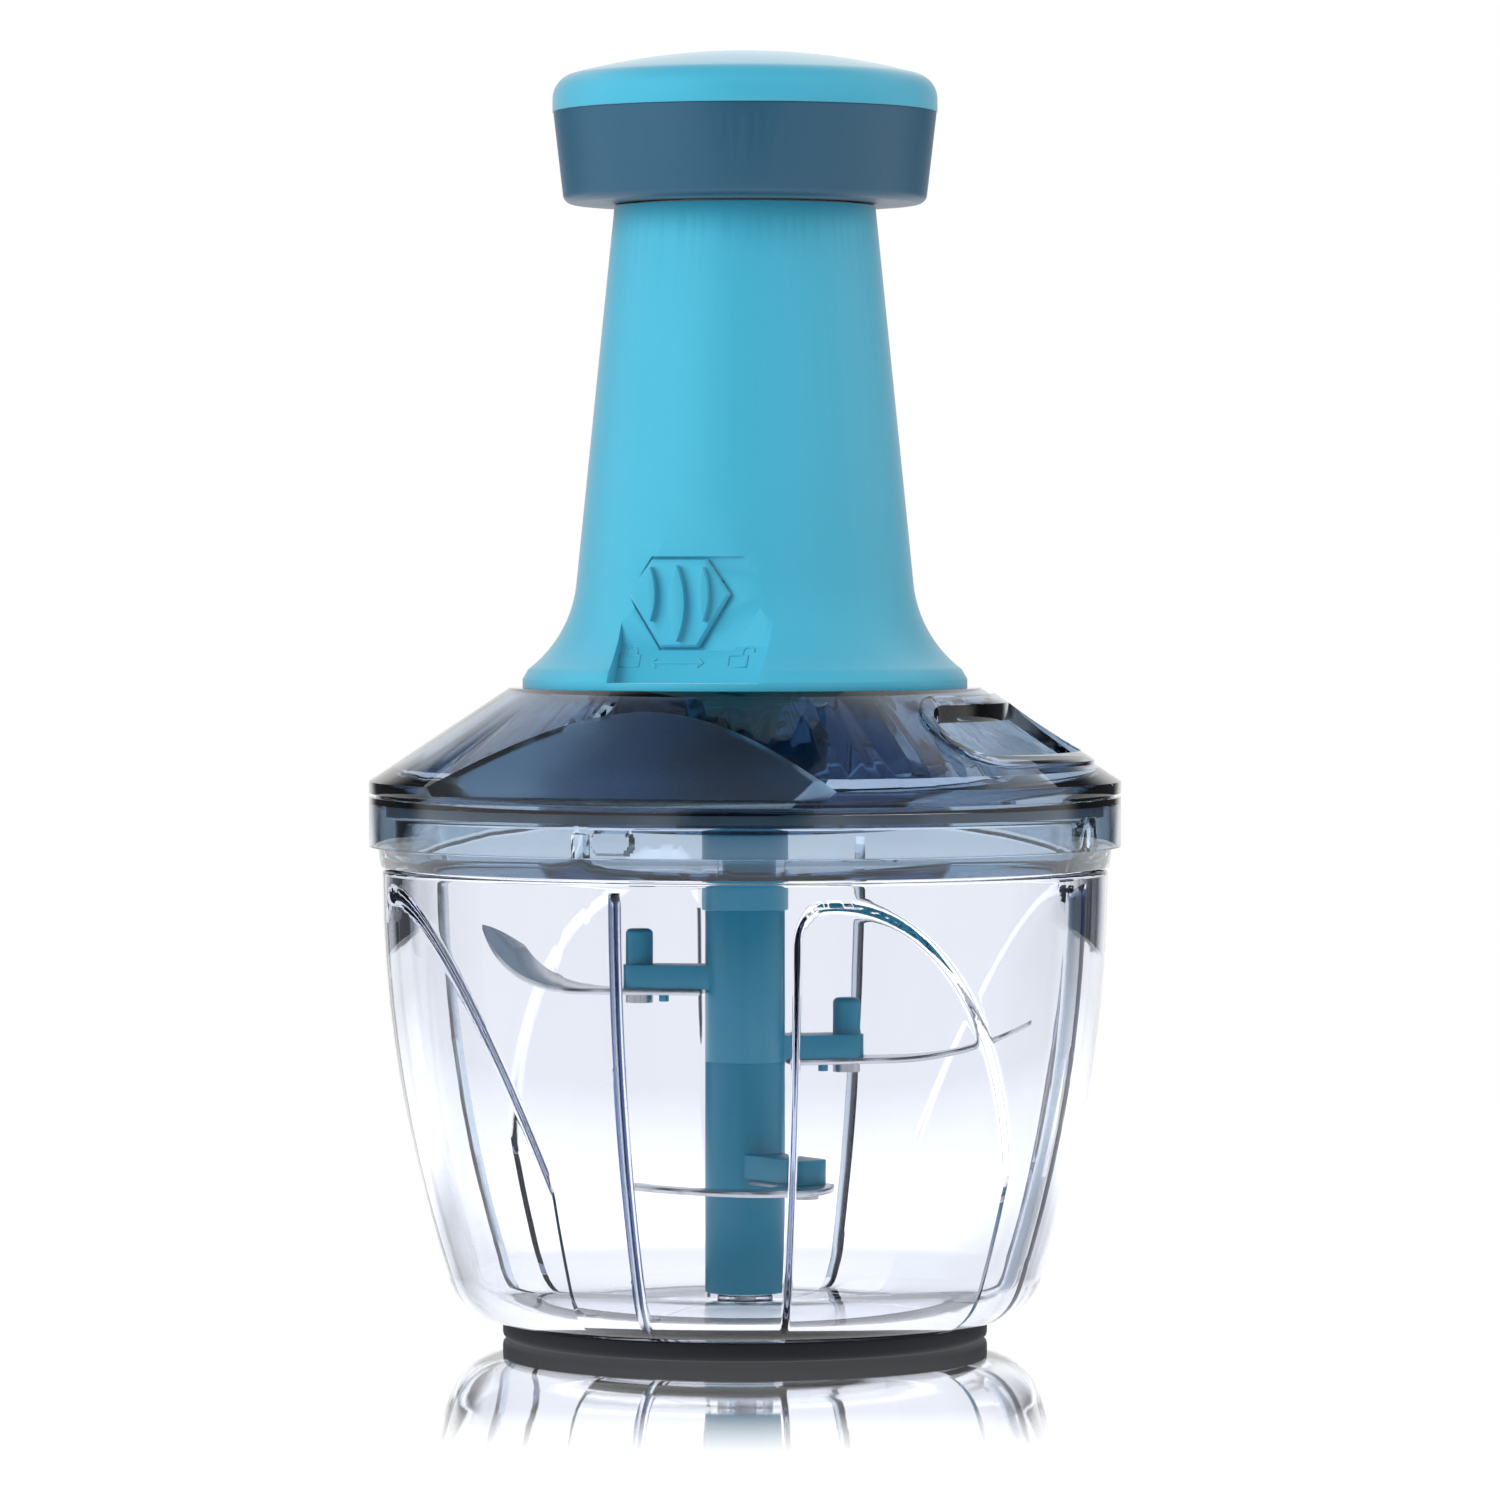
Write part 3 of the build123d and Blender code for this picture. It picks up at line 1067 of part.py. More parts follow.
def make_blade_middle():
    return Rot(0, 0, MIDDLE_AZ) * sickle(MIDDLE_ARM_Z, MIDDLE_RISE)


def make_blade_lower():
    point = Vector(-HOOK_SWEEP, -HOOK_REACH)
    return Rot(0, 0, LOWER_AZ) * blade(LOWER_ARM_Z, LOWER_RISE, point, HOOK_BULGE, HOOK_SKEW)


def make_blade_screws():
    stations = [(UPPER_AZ, UPPER_ARM_Z, POST_H), (MIDDLE_AZ, MIDDLE_ARM_Z, POST_H),
                (LOWER_AZ, LOWER_ARM_Z, 0)]
    screws = []
    for azimuth, arm_z, post_h in stations:
        length = BLADE_T + screw_depth(post_h) - FIT_GAP
        shape = screw(BLADE_SCREW_R, BLADE_SCREW_HEAD_R, BLADE_SCREW_HEAD_H, length)
        screws.append(at(azimuth, post_reach(), arm_z - BLADE_T) * shape)
    return group(screws)


# ---- lock --------------------------------------------------------------------------------
def grip(length, width):
    """One lens-shaped ridge on the thumb slide, seen from the front."""
    half = length / 2
    side = width / 2
    return outlined(ThreePointArc((0, -half), (side, 0), (0, half)),
                    ThreePointArc((0, half), (-side, 0), (0, -half)))


def make_lock_button():
    face_y = PANEL_Y + BUTTON_PROUD
    body = front_prism(hexagon(BUTTON_HALF_W, 0), LOCK_X, LOCK_Z, face_y, POCKET_Y + RUN_GAP)
    rim = body.faces().sort_by(Axis.Y)[0].edges()
    body = chamfer(rim, BUTTON_EDGE)
    middle_z = LOCK_Z + (BUTTON_UP - BUTTON_DOWN) / 2
    body += front_prism(grip(GRIP_LEN, GRIP_W), LOCK_X, middle_z, face_y + GRIP_H, face_y - FIT_GAP)
    for side in (-1, 1):
        body += front_prism(grip(GRIP_SIDE_LEN, GRIP_SIDE_W), LOCK_X + side * GRIP_PITCH, LOCK_Z,
                            face_y + GRIP_H, face_y - FIT_GAP)
    neck = block(LOCK_X - SLIDE_NECK_HALF_W, LOCK_X + SLIDE_NECK_HALF_W, -POCKET_Y - RUN_GAP, -BOLT_Y,
                 LOCK_Z - SLIDE_NECK_HALF_H, LOCK_Z + SLIDE_NECK_HALF_H)
    return body + neck - lock_screw_hole(BOLT_Y, BOLT_Y + LOCK_SCREW_LEN - BOLT_T + FIT_GAP)


def lock_screw_hole(inner, outer):
    hole = Circle(LOCK_SCREW_R + SCREW_GAP)
    return front_prism(hole, LOCK_X, LOCK_Z, outer, inner)


def make_lock_bolt():
    """The plate behind the wall, with the finger that stands over the tube's stop ring."""
    back = BOLT_Y - BOLT_T
    low = LOCK_Z - BOLT_HALF_H
    body = block(LOCK_X - BOLT_HALF_W, LOCK_X + BOLT_HALF_W, -BOLT_Y, -back,
                 low, LOCK_Z + BOLT_HALF_H)
    finger_z = TUBE_FOOT_Z + TUBE_STOP_H + RUN_GAP
    half = FINGER_W / 2
    tip = TUBE_R + 2 * RUN_GAP
    body += block(LOCK_X - half, LOCK_X + half, -BOLT_Y, -back, finger_z, low)
    body += block(LOCK_X - half, LOCK_X + half, -BOLT_Y, -tip, finger_z, finger_z + FINGER_H)
    return body - lock_screw_hole(back, BOLT_Y)


def make_lock_screw():
    shape = screw(LOCK_SCREW_R, LOCK_SCREW_HEAD_R, LOCK_SCREW_HEAD_H, LOCK_SCREW_LEN)
    place = Plane(origin=(LOCK_X, -BOLT_Y + BOLT_T, LOCK_Z), x_dir=(1, 0, 0), z_dir=(0, -1, 0))
    return place * shape


def make_lock_detent_spring():
    """A leaf on the pad whose tooth stands between the slide's two places."""
    low = LOCK_Z + BOLT_HALF_H + RUN_GAP
    top = low + DETENT_H
    points = [(-DETENT_HALF_W, top), (DETENT_HALF_W, top), (DETENT_HALF_W, low + DETENT_H / 2),
              (DETENT_H / 2, low + DETENT_H / 2), (0, low), (-DETENT_H / 2, low + DETENT_H / 2),
              (-DETENT_HALF_W, low + DETENT_H / 2)]
    face = outlined(Polyline(*points, close=True))
    return front_prism(face, 0, 0, PAD_Y, PAD_Y - DETENT_T)


# ---- all nodes ---------------------------------------------------------------------------
NODES = {
    "bowl": make_bowl,
    "base_ring": make_base_ring,
    "pivot_pin": make_pivot_pin,
    "lid_cover": make_lid_cover,
    "lid_skirt": make_lid_skirt,
    "lid_gasket": make_lid_gasket,
    "drive_housing": make_drive_housing,
    "thrust_washer": make_thrust_washer,
    "spindle_bush": make_spindle_bush,
    "handle_base": make_handle_base,
    "handle_shell": make_handle_shell,
    "base_screws": make_base_screws,
    "guide_bush": make_guide_bush,
    "return_spring": make_return_spring,
    "clutch_spring": make_clutch_spring,
    "lock_detent_spring": make_lock_detent_spring,
    "knob_cap": make_knob_cap,
    "knob_ring": make_knob_ring,
    "plunger_tube": make_plunger_tube,
    "knob_screws": make_knob_screws,
    "helix_nut": make_helix_nut,
    "nut_clip": make_nut_clip,
    "drive_spindle": make_drive_spindle,
    "ratchet_rotor": make_ratchet_rotor,
    "spindle_pin": make_spindle_pin,
    "ratchet_driver": make_ratchet_driver,
    "drive_socket": make_drive_socket,
    "drive_screw": make_drive_screw,
    "blade_hub_upper": make_blade_hub_upper,
    "blade_hub_lower": make_blade_hub_lower,
    "blade_upper": make_blade_upper,
    "blade_middle": make_blade_middle,
    "blade_lower": make_blade_lower,
    "blade_screws": make_blade_screws,
    "lock_button": make_lock_button,
    "lock_bolt": make_lock_bolt,
    "lock_screw": make_lock_screw,
}

os.makedirs("parts", exist_ok=True)
for name, make in NODES.items():
    export_step(make(), f"parts/{name}.step")
    print("wrote", name)
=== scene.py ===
# %% [markdown]
# # A plunger food chopper, dressed around its frame
# The chopper has a clear bowl, a smoke lid, a cyan handle with a thumb lock and a knob that is
# pushed down. The frame holds each piece at its real size. This script gives every piece the
# finish that its maker gave it, and builds anew the pieces whose soft edges and reliefs carry the
# look. Lengths are written in millimetres and turned to metres where a mesh is made.

# %% The frame
import json
import math

import bmesh
import bpy
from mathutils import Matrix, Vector


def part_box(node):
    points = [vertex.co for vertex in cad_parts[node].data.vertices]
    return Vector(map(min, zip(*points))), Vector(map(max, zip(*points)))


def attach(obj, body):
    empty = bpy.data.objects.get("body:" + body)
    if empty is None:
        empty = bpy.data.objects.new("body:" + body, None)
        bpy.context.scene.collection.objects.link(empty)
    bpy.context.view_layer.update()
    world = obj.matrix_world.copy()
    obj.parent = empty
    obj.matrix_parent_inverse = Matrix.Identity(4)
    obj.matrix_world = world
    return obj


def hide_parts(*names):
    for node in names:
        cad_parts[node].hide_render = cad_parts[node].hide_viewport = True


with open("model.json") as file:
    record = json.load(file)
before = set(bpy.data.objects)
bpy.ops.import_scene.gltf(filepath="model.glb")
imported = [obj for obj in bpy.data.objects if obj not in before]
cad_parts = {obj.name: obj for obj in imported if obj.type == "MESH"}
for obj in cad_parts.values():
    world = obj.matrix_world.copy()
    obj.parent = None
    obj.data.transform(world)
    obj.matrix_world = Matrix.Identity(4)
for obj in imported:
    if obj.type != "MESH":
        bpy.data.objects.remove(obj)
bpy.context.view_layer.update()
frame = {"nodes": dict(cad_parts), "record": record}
nodes = frame["nodes"]
BODY_OF = {name: body for body, names in frame["record"]["behaviour"]["bodies"].items() for name in names}

# %% [markdown]
# ## Helpers
# A colour is written as the sRGB hex that a paint chart would give, and one function turns it to
# the linear values that shaders take. Another adds a shader node with its settings and its links,
# so that each material below reads as a list of what it is made of.

# %% Colours and nodes
MM = 0.001


def linear(hex_colour):
    """An sRGB hex colour as linear RGBA."""
    channels = []
    for start in (0, 2, 4):
        value = int(hex_colour[start:start + 2], 16) / 255
        channels.append(value / 12.92 if value <= 0.04045 else ((value + 0.055) / 1.055) ** 2.4)
    return (*channels, 1.0)


def add(tree, kind, links=None, **settings):
    """Adds a node, sets its properties or sockets by name, and links {socket: output}."""
    made = tree.nodes.new(kind)
    for name, value in settings.items():
        if hasattr(made, name):
            setattr(made, name, value)
        else:
            made.inputs[name.replace("_", " ")].default_value = value
    for name, output in (links or {}).items():
        tree.links.new(output, made.inputs[name])
    return made


def new_material(name):
    made = bpy.data.materials.new(name)
    made.use_nodes = True
    made.node_tree.nodes.clear()
    return made, made.node_tree


# %% [markdown]
# ## Plastics
# The handle and knob are moulded ABS with a satin texture: tiny pits that scatter the highlight,
# with a faint cloud where the melt cooled unevenly. The pits are finer than a render shows, so
# they are drawn about half a millimetre wide. The same recipe with other numbers makes the
# moulded blade hub, the natural acetal of the inner pieces, the black rubber foot and the grey
# silicone seal.

# %% Moulded plastic
CLOUD_MM = 25
CLOUD_SHADE = 0.94
PIT_MM = 0.1
GLOSS_SPREAD = 0.05
BLOOM_ROUGH = 0.4
ABS_IOR = 1.54
RUBBER_IOR = 1.41


def plastic(name, base, rough, grain_mm, bump, bloom=0.0, ior=ABS_IOR):
    """A moulded plastic: a cloud in its colour, a fine grain, and a pale bloom at its edges."""
    made, tree = new_material(name)
    place = add(tree, "ShaderNodeTexCoord").outputs["Object"]
    cloud = add(tree, "ShaderNodeTexNoise", {"Vector": place}, Scale=1 / (CLOUD_MM * MM), Detail=3.0)
    colour = add(tree, "ShaderNodeValToRGB", {"Fac": cloud.outputs["Fac"]})
    colour.color_ramp.elements[0].color = base
    colour.color_ramp.elements[1].color = (*(channel * CLOUD_SHADE for channel in base[:3]), 1)
    grain = add(tree, "ShaderNodeTexNoise", {"Vector": place}, Scale=1 / (grain_mm * MM), Detail=2.0)
    relief = add(tree, "ShaderNodeBump", {"Height": grain.outputs["Fac"]}, Strength=bump,
                 Distance=PIT_MM * MM)
    gloss = add(tree, "ShaderNodeMapRange", {"Value": grain.outputs["Fac"]},
                To_Min=rough - GLOSS_SPREAD, To_Max=rough + GLOSS_SPREAD)
    shader = add(tree, "ShaderNodeBsdfPrincipled",
                 {"Base Color": colour.outputs["Color"], "Normal": relief.outputs["Normal"],
                  "Roughness": gloss.outputs["Result"]},
                 IOR=ior, Sheen_Weight=bloom, Sheen_Roughness=BLOOM_ROUGH)
    add(tree, "ShaderNodeOutputMaterial", {"Surface": shader.outputs[0]})
    return made


cyan = plastic("abs_cyan_satin", linear("3FB4D4"), 0.42, 0.5, 0.25, 0.75)
slate = plastic("abs_slate_satin", linear("1E5673"), 0.42, 0.5, 0.25, 0.12)
hub = plastic("abs_teal_moulded", linear("029ABE"), 0.35, 0.5, 0.12)
acetal = plastic("acetal_natural_moulded", linear("D9DCDD"), 0.4, 0.6, 0.1)
rubber = plastic("rubber_black_moulded", linear("13171F"), 0.6, 0.5, 0.2, ior=RUBBER_IOR)
silicone = plastic("silicone_grey_moulded", linear("8896A2"), 0.5, 0.6, 0.1, ior=RUBBER_IOR)
print("six moulded plastics, cloud", CLOUD_MM, "mm")

# %% [markdown]
# ## Clear plastics
# Bowl and lid are SAN, a clear plastic that is polished by its mould and bends light like flint
# glass. Its surface keeps a slow wave from the mould, which makes lines seen through it swim.
# The tint is smoke in the lid, and the grip facets are frosted so that fingers hold them: the
# same plastic with a blasted, rough surface. A grey specular tint holds back the mirror image of
# the room where a wall is seen straight on, and leaves the bright glare at its edges. The bowl also
# takes a little light in its depth, so it darkens where a ray runs along the wall. Its ribs keep
# the cutter's fine marks, because that part of the mould can't be polished, so they are rough.
# Their grey-blue tint is painted shade, darker than the bowl's clear, for the grey that the ribs show.

# %% Polished and frosted SAN
WAVE_MM = 18
WAVE_STRENGTH = 0.15
SAN_IOR = 1.57
BODY_PER_METRE = 18
BODY_BLUE = (0.0, 0.15, 0.5, 1)


def clear(name, tint, rough, wave_mm, depth_mm, mirror, body=None):
    """A see-through plastic with a wave or a frost in its surface; mirror scales its front gloss,
    and body is the colour that its depth lets through."""
    made, tree = new_material(name)
    place = add(tree, "ShaderNodeTexCoord").outputs["Object"]
    wave = add(tree, "ShaderNodeTexNoise", {"Vector": place}, Scale=1 / (wave_mm * MM))
    relief = add(tree, "ShaderNodeBump", {"Height": wave.outputs["Fac"]},
                 Strength=WAVE_STRENGTH, Distance=depth_mm * MM)
    shader = add(tree, "ShaderNodeBsdfPrincipled", {"Normal": relief.outputs["Normal"]},
                 Base_Color=tint, Roughness=rough, IOR=SAN_IOR, Transmission_Weight=1.0,
                 Specular_Tint=(mirror, mirror, mirror, 1))
    ports = {"Surface": shader.outputs[0]}
    if body:
        depth = add(tree, "ShaderNodeVolumeAbsorption", Color=body, Density=BODY_PER_METRE)
        ports["Volume"] = depth.outputs[0]
    add(tree, "ShaderNodeOutputMaterial", ports)
    return made


bowl_clear = clear("san_clear_polished", linear("FBFCFF"), 0.01, WAVE_MM, 0.1, 0.15, BODY_BLUE)
smoke = clear("san_smoke_polished", linear("8FA3BA"), 0.02, WAVE_MM, 0.1, 0.5)
smoke_thin = clear("san_smoke_thin_polished", linear("BACBD9"), 0.02, WAVE_MM, 0.1, 0.8)
smoke_inner = clear("san_smoke_blue_polished", linear("98B0C8"), 0.02, WAVE_MM, 0.1, 0.5)
smoke_frost = clear("san_smoke_frosted", linear("88B2CE"), 0.38, 0.7, 0.3, 0.5)
# The ribs' finish: rough as cut, with a grey-blue tint that is painted shade.
rib_satin_and_painted_shade = clear("san_as_cut_painted_shade", linear("93A4B8"), 0.22, 2.0, 0.1, 0.3)
print("six clear plastics, index", SAN_IOR)

# %% [markdown]
# ## Metals
# Screws, springs and washers are zinc-plated steel, which is a little cloudy. The blades are
# stainless sheet that is ground across, so fine streaks run through their shine.

# %% Steel
STREAK_STRENGTH = 0.05
STREAK_DEPTH_MM = 0.02


def metal(name, base, rough, streak_mm, stretch):
    """A metal whose shine is broken by a fine pattern, stretched where it was ground."""
    made, tree = new_material(name)
    place = add(tree, "ShaderNodeTexCoord").outputs["Object"]
    along = add(tree, "ShaderNodeMapping", {"Vector": place}, Scale=(stretch, 1, 1))
    streak = add(tree, "ShaderNodeTexNoise", {"Vector": along.outputs[0]}, Scale=1 / (streak_mm * MM))
    gloss = add(tree, "ShaderNodeMapRange", {"Value": streak.outputs["Fac"]}, To_Min=rough - 0.08,
                To_Max=rough + 0.12)
    relief = add(tree, "ShaderNodeBump", {"Height": streak.outputs["Fac"]},
                 Strength=STREAK_STRENGTH, Distance=STREAK_DEPTH_MM * MM)
    shader = add(tree, "ShaderNodeBsdfPrincipled",
                 {"Normal": relief.outputs["Normal"], "Roughness": gloss.outputs["Result"]},
                 Base_Color=base, Metallic=1.0)
    add(tree, "ShaderNodeOutputMaterial", {"Surface": shader.outputs[0]})
    return made


steel = metal("steel_zinc_plated", linear("B9BABC"), 0.3, 1.2, 1.0)
blade_steel = metal("steel_blade_ground", linear("C2C4C8"), 0.2, 0.8, 6.0)

# %% [markdown]
# ## Which piece has which finish
# Every frame piece takes its material here. The pieces built anew below replace theirs.

# %% Finishes
FINISH = {
    cyan: ["handle_shell", "knob_cap", "lock_button"],
    slate: ["knob_ring"],
    hub: ["blade_hub_upper", "blade_hub_lower", "drive_socket", "ratchet_rotor", "ratchet_driver"],
    smoke: ["lid_cover"],
    smoke_inner: ["drive_housing"],
    smoke_thin: ["lid_skirt"],
    bowl_clear: ["bowl"],
    rubber: ["base_ring"],
    silicone: ["lid_gasket"],
    blade_steel: ["blade_upper", "blade_middle", "blade_lower"],
    steel: ["pivot_pin", "thrust_washer", "base_screws", "return_spring", "clutch_spring",
            "lock_detent_spring", "knob_screws", "nut_clip", "drive_spindle", "spindle_pin",
            "drive_screw", "blade_screws", "lock_screw"],
    acetal: ["handle_base", "guide_bush", "plunger_tube", "lock_bolt", "helix_nut", "spindle_bush"],
}
FINISH_OF = {name: finish for finish, names in FINISH.items() for name in names}
for name, finish in FINISH_OF.items():
    nodes[name].data.materials.clear()
    nodes[name].data.materials.append(finish)
print(len(FINISH_OF), "pieces finished")

# %% [markdown]
# ## Moulded edges
# No moulded piece has a knife edge: the tool leaves a round of a few tenths of a millimetre, and
# that round catches the light. A copy of the frame's piece is merged, its flat triangles are
# joined, and a Bevel rounds what is sharper than an angle. This suits pieces whose shape the
# frame already holds, and keeps them where they are.

# %% Pieces with rounded edges
MERGE_MM = 0.002
FLAT_ANGLE = math.radians(0.5)
BEVEL_SEGMENTS = 2
BEVEL_ANGLE = math.radians(28)
SMOOTH_ANGLE = math.radians(35)


def install(mesh, name, replaced, finishes):
    """Puts a finished mesh in the scene, in place of a frame piece."""
    mesh.materials.clear()
    for finish in finishes:
        mesh.materials.append(finish)
    mesh.shade_smooth()
    mesh.set_sharp_from_angle(angle=SMOOTH_ANGLE)
    piece = bpy.data.objects.new(name, mesh)
    bpy.context.scene.collection.objects.link(piece)
    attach(piece, BODY_OF[replaced])
    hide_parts(replaced)
    print(name, len(mesh.polygons), "faces")
    return piece


def baked(holder):
    """The plain mesh that an object's modifiers give; the object itself is removed."""
    graph = bpy.context.evaluated_depsgraph_get()
    mesh = bpy.data.meshes.new_from_object(holder.evaluated_get(graph))
    bpy.data.objects.remove(holder)
    return mesh


def rounded(name, edge_mm, finishes=None, gap_mm=0.0):
    """A copy of a frame piece with its hard edges rounded, a gap smaller across and in height."""
    shape = bmesh.new()
    shape.from_mesh(nodes[name].data)
    bmesh.ops.remove_doubles(shape, verts=shape.verts, dist=MERGE_MM * MM)
    bmesh.ops.dissolve_limit(shape, angle_limit=FLAT_ANGLE, verts=shape.verts, edges=shape.edges)
    low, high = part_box(name)
    middle, size = (low + high) / 2, high - low
    for vert in shape.verts:
        vert.co.x -= (vert.co.x - middle.x) * 2 * gap_mm * MM / size.x
        vert.co.z -= (vert.co.z - middle.z) * 2 * gap_mm * MM / size.z
    mesh = bpy.data.meshes.new(name + "_edges")
    shape.to_mesh(mesh)
    shape.free()
    holder = bpy.data.objects.new(name + "_edges", mesh)
    bpy.context.scene.collection.objects.link(holder)
    bevel = holder.modifiers.new("edge", "BEVEL")
    bevel.width = edge_mm * MM
    bevel.segments = BEVEL_SEGMENTS
    bevel.angle_limit = BEVEL_ANGLE
    return install(baked(holder), name + "_moulded", name, finishes or [FINISH_OF[name]])


EDGE_MM = {"handle_shell": 0.3, "lock_button": 0.3, "knob_cap": 0.25, "knob_ring": 0.3,
           "blade_hub_upper": 0.3, "blade_hub_lower": 0.3, "drive_socket": 0.3,
           "blade_upper": 0.12, "blade_middle": 0.12, "blade_lower": 0.12, "lid_skirt": 0.2}
BUTTON_GAP_MM = 0.25
for name, edge_mm in EDGE_MM.items():
    rounded(name, edge_mm, gap_mm=BUTTON_GAP_MM if name == "lock_button" else 0.0)

# %% [markdown]
# ## The lid's cover
# The cover is one smoke moulding. Two facets are cut across its cone for the fingers, and only
# they are frosted. They are found by the way their faces look: flat, leaning outwards, and square
# to the lugs' azimuth.

# %% Frosted facets
LUG_AZ = -4.0
FACET_LEAN = 31.4
FACET_MATCH = math.cos(math.radians(2))
COVER_EDGE_MM = 0.25

cover = rounded("lid_cover", COVER_EDGE_MM, [smoke, smoke_frost])
lean = math.radians(FACET_LEAN)
turn = math.radians(LUG_AZ)
outwards = Vector((math.sin(turn), -math.cos(turn), 0)) * math.cos(lean)
upwards = Vector((0, 0, math.sin(lean)))
facet_normals = [outwards + upwards, upwards - outwards]
frosted = 0
for face in cover.data.polygons:
    if max(face.normal.dot(normal) for normal in facet_normals) > FACET_MATCH:
        face.material_index = 1
        frosted += 1
print("frosted faces", frosted)

# %% [markdown]
# ## Turned pieces
# The bowl is a turned form with reliefs in its wall, so it is made as one closed grid: a path of
# (radius, height) points swung round the axis. Corners take a round of their own. A function can
# push each point out or in, which makes ribs, raised fields and lugs part of the same skin, as
# they are in the mould. One skin also matters for light, because a clear piece that overlaps
# another shows a false wall.

# %% A path with rounded corners, swung round the axis
ROUND_STEPS = 3


def corner_points(before, corner, after, radius):
    """Points of the arc that rounds one corner of a path."""
    start, middle, end = Vector(before), Vector(corner), Vector(after)
    into, out = (start - middle).normalized(), (end - middle).normalized()
    half = into.angle(out) / 2
    back = radius / math.tan(half)
    centre = middle + (into + out).normalized() * (radius / math.sin(half))
    first = middle + into * back - centre
    last = middle + out * back - centre
    points = []
    for step in range(ROUND_STEPS + 1):
        blend = first.lerp(last, step / ROUND_STEPS).normalized() * radius
        points.append(tuple(centre + blend))
    return points


def rounded_path(corners):
    """A path from (radius, height, round) corners; a round of 0 keeps the corner."""
    points = []
    for index, (r, z, radius) in enumerate(corners):
        if radius == 0 or index in (0, len(corners) - 1):
            points.append((r, z))
        else:
            before, after = corners[index - 1][:2], corners[index + 1][:2]
            points += corner_points(before, (r, z), after, radius)
    return points


def swung(name, path, azimuths, push=None):
    """A closed skin: a path from axis to axis, swung round; push(r, z, azimuth, row) moves points."""
    shape = bmesh.new()
    rows = []
    for row, (r, z) in enumerate(path):
        if r == 0:
            rows.append([shape.verts.new((0, 0, z * MM))] * len(azimuths))
            continue
        verts = []
        for azimuth in azimuths:
            out = (r + (push(r, z, azimuth, row) if push else 0)) * MM
            angle = math.radians(azimuth)
            verts.append(shape.verts.new((out * math.sin(angle), -out * math.cos(angle), z * MM)))
        rows.append(verts)
    count = len(azimuths)
    for lower, upper in zip(rows, rows[1:]):
        for index in range(count):
            after = (index + 1) % count
            corners = []
            for vert in (lower[after], upper[after], upper[index], lower[index]):
                if vert not in corners:
                    corners.append(vert)
            shape.faces.new(corners)
    bmesh.ops.recalc_face_normals(shape, faces=shape.faces)
    mesh = bpy.data.meshes.new(name)
    shape.to_mesh(mesh)
    shape.free()
    return mesh


def even_turn(count):
    """Azimuths in degrees, evenly round."""
    return [360 * step / count for step in range(count)]


# %% [markdown]
# ## The bowl
# The wall is a slow curve over a tight heel. Four ribs stand upright inside it, and four raised
# fields with a round top throw the food back into the blades: each has one upright side and one
# that leans, where a sloping cut meets the wall. Four oval lugs on the neck hold the lid. The
# sizes below are the frame's own, and the top, foot and radius are read from its box.

# %% The bowl's sizes
low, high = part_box("bowl")
BOWL_R = high[0] / MM
RIM_Z = high[2] / MM
UNDER_Z = low[2] / MM
NECK_H = 9.6
NECK_STEP = 2.3
WALL = 3.6
WALL_CURVE_R = 233
FLOOR = 3.1
FLOOR_ROUND_H = 5.5
HEEL_H = 7.1
PIN_HOLE_R = 2.03
BOSS_R = 5.0
BOSS_H = 2.5
BOSS_ROUND = 0.5
PIN_HOLE_ROUND = 0.2
PIN_SINK = 1.9
RIM_ROUND_IN = 0.5
RIM_ROUND_OUT = 0.4
SHOULDER_ROUND_IN = 0.3
SHOULDER_ROUND_OUT = 0.5
FOOT_MID_IN = 2.7
GROOVE_HALF = 1.3
GROOVE_H = 1.5
SHOULDER_Z = RIM_Z - NECK_H
NECK_R = BOWL_R - NECK_STEP
FLOOR_Z = UNDER_Z + FLOOR


def wall_r(height, inset=0.0):
    """The wall's radius at a height, or that of a face further in."""
    return BOWL_R - WALL_CURVE_R + math.sqrt((WALL_CURVE_R - inset) ** 2 - (SHOULDER_Z - height) ** 2)


def wall_points(start, end, inset, count):
    """Points along the wall's curve between two heights."""
    heights = [start + (end - start) * step / count for step in range(count + 1)]
    return [(wall_r(height, inset), height) for height in heights]


def heel_points(flat_z, wall_z, inset, count):
    """The round between a flat face and the wall, from the flat face up."""
    lean = math.asin((SHOULDER_Z - wall_z) / (WALL_CURVE_R - inset))
    half = (math.pi / 2 - lean) / 2
    flat_r = wall_r(wall_z, inset) - (wall_z - flat_z) / math.tan(half)
    radius = (wall_z - flat_z) / (1 - math.sin(lean))
    points = []
    for step in range(count + 1):
        angle = (math.pi / 2 - lean) * step / count
        points.append((flat_r + radius * math.sin(angle), flat_z + radius * (1 - math.cos(angle))))
    return points


# %% The bowl's reliefs
SECTOR = 90
RIB_HALF = 1.0
RIB_DEPTH = 2.0
RIB_TOP_Z = SHOULDER_Z - 2.4
RIB_EDGE = 0.45
# From this share of a rib's depth inwards, the rib takes the rough finish with its painted grey shade.
SATIN_SHADE_SHARE = 0.1         # of a rib's depth, from which it is satin
BAFFLE_AZ = 25.3
BAFFLE_LEAN = 6.0
BAFFLE_SLOPE = math.tan(math.radians(20.8))
BAFFLE_TOP_Z = SHOULDER_Z - 4.0
BAFFLE_THICK = 1.2
BAFFLE_EDGE = 1.7
BAFFLE_TOP_ROUND = 4.5
LUG_HALF = 1.85
LUG_R = 2.0
LUG_REACH = 1.6
LUG_EDGE = 0.3
LUG_Z = RIM_Z - 2.6
LUG_HIGH_Z = RIM_Z - 0.5
LUG_LOW_Z = SHOULDER_Z + 0.4


def ease(value):
    """A smooth step from 0 to 1."""
    value = min(max(value, 0.0), 1.0)
    return value * value * (3 - 2 * value)


def sector_az(azimuth, first):
    """Azimuth from the nearest of four features, the first of which is given."""
    return (azimuth - first + SECTOR / 2) % SECTOR - SECTOR / 2


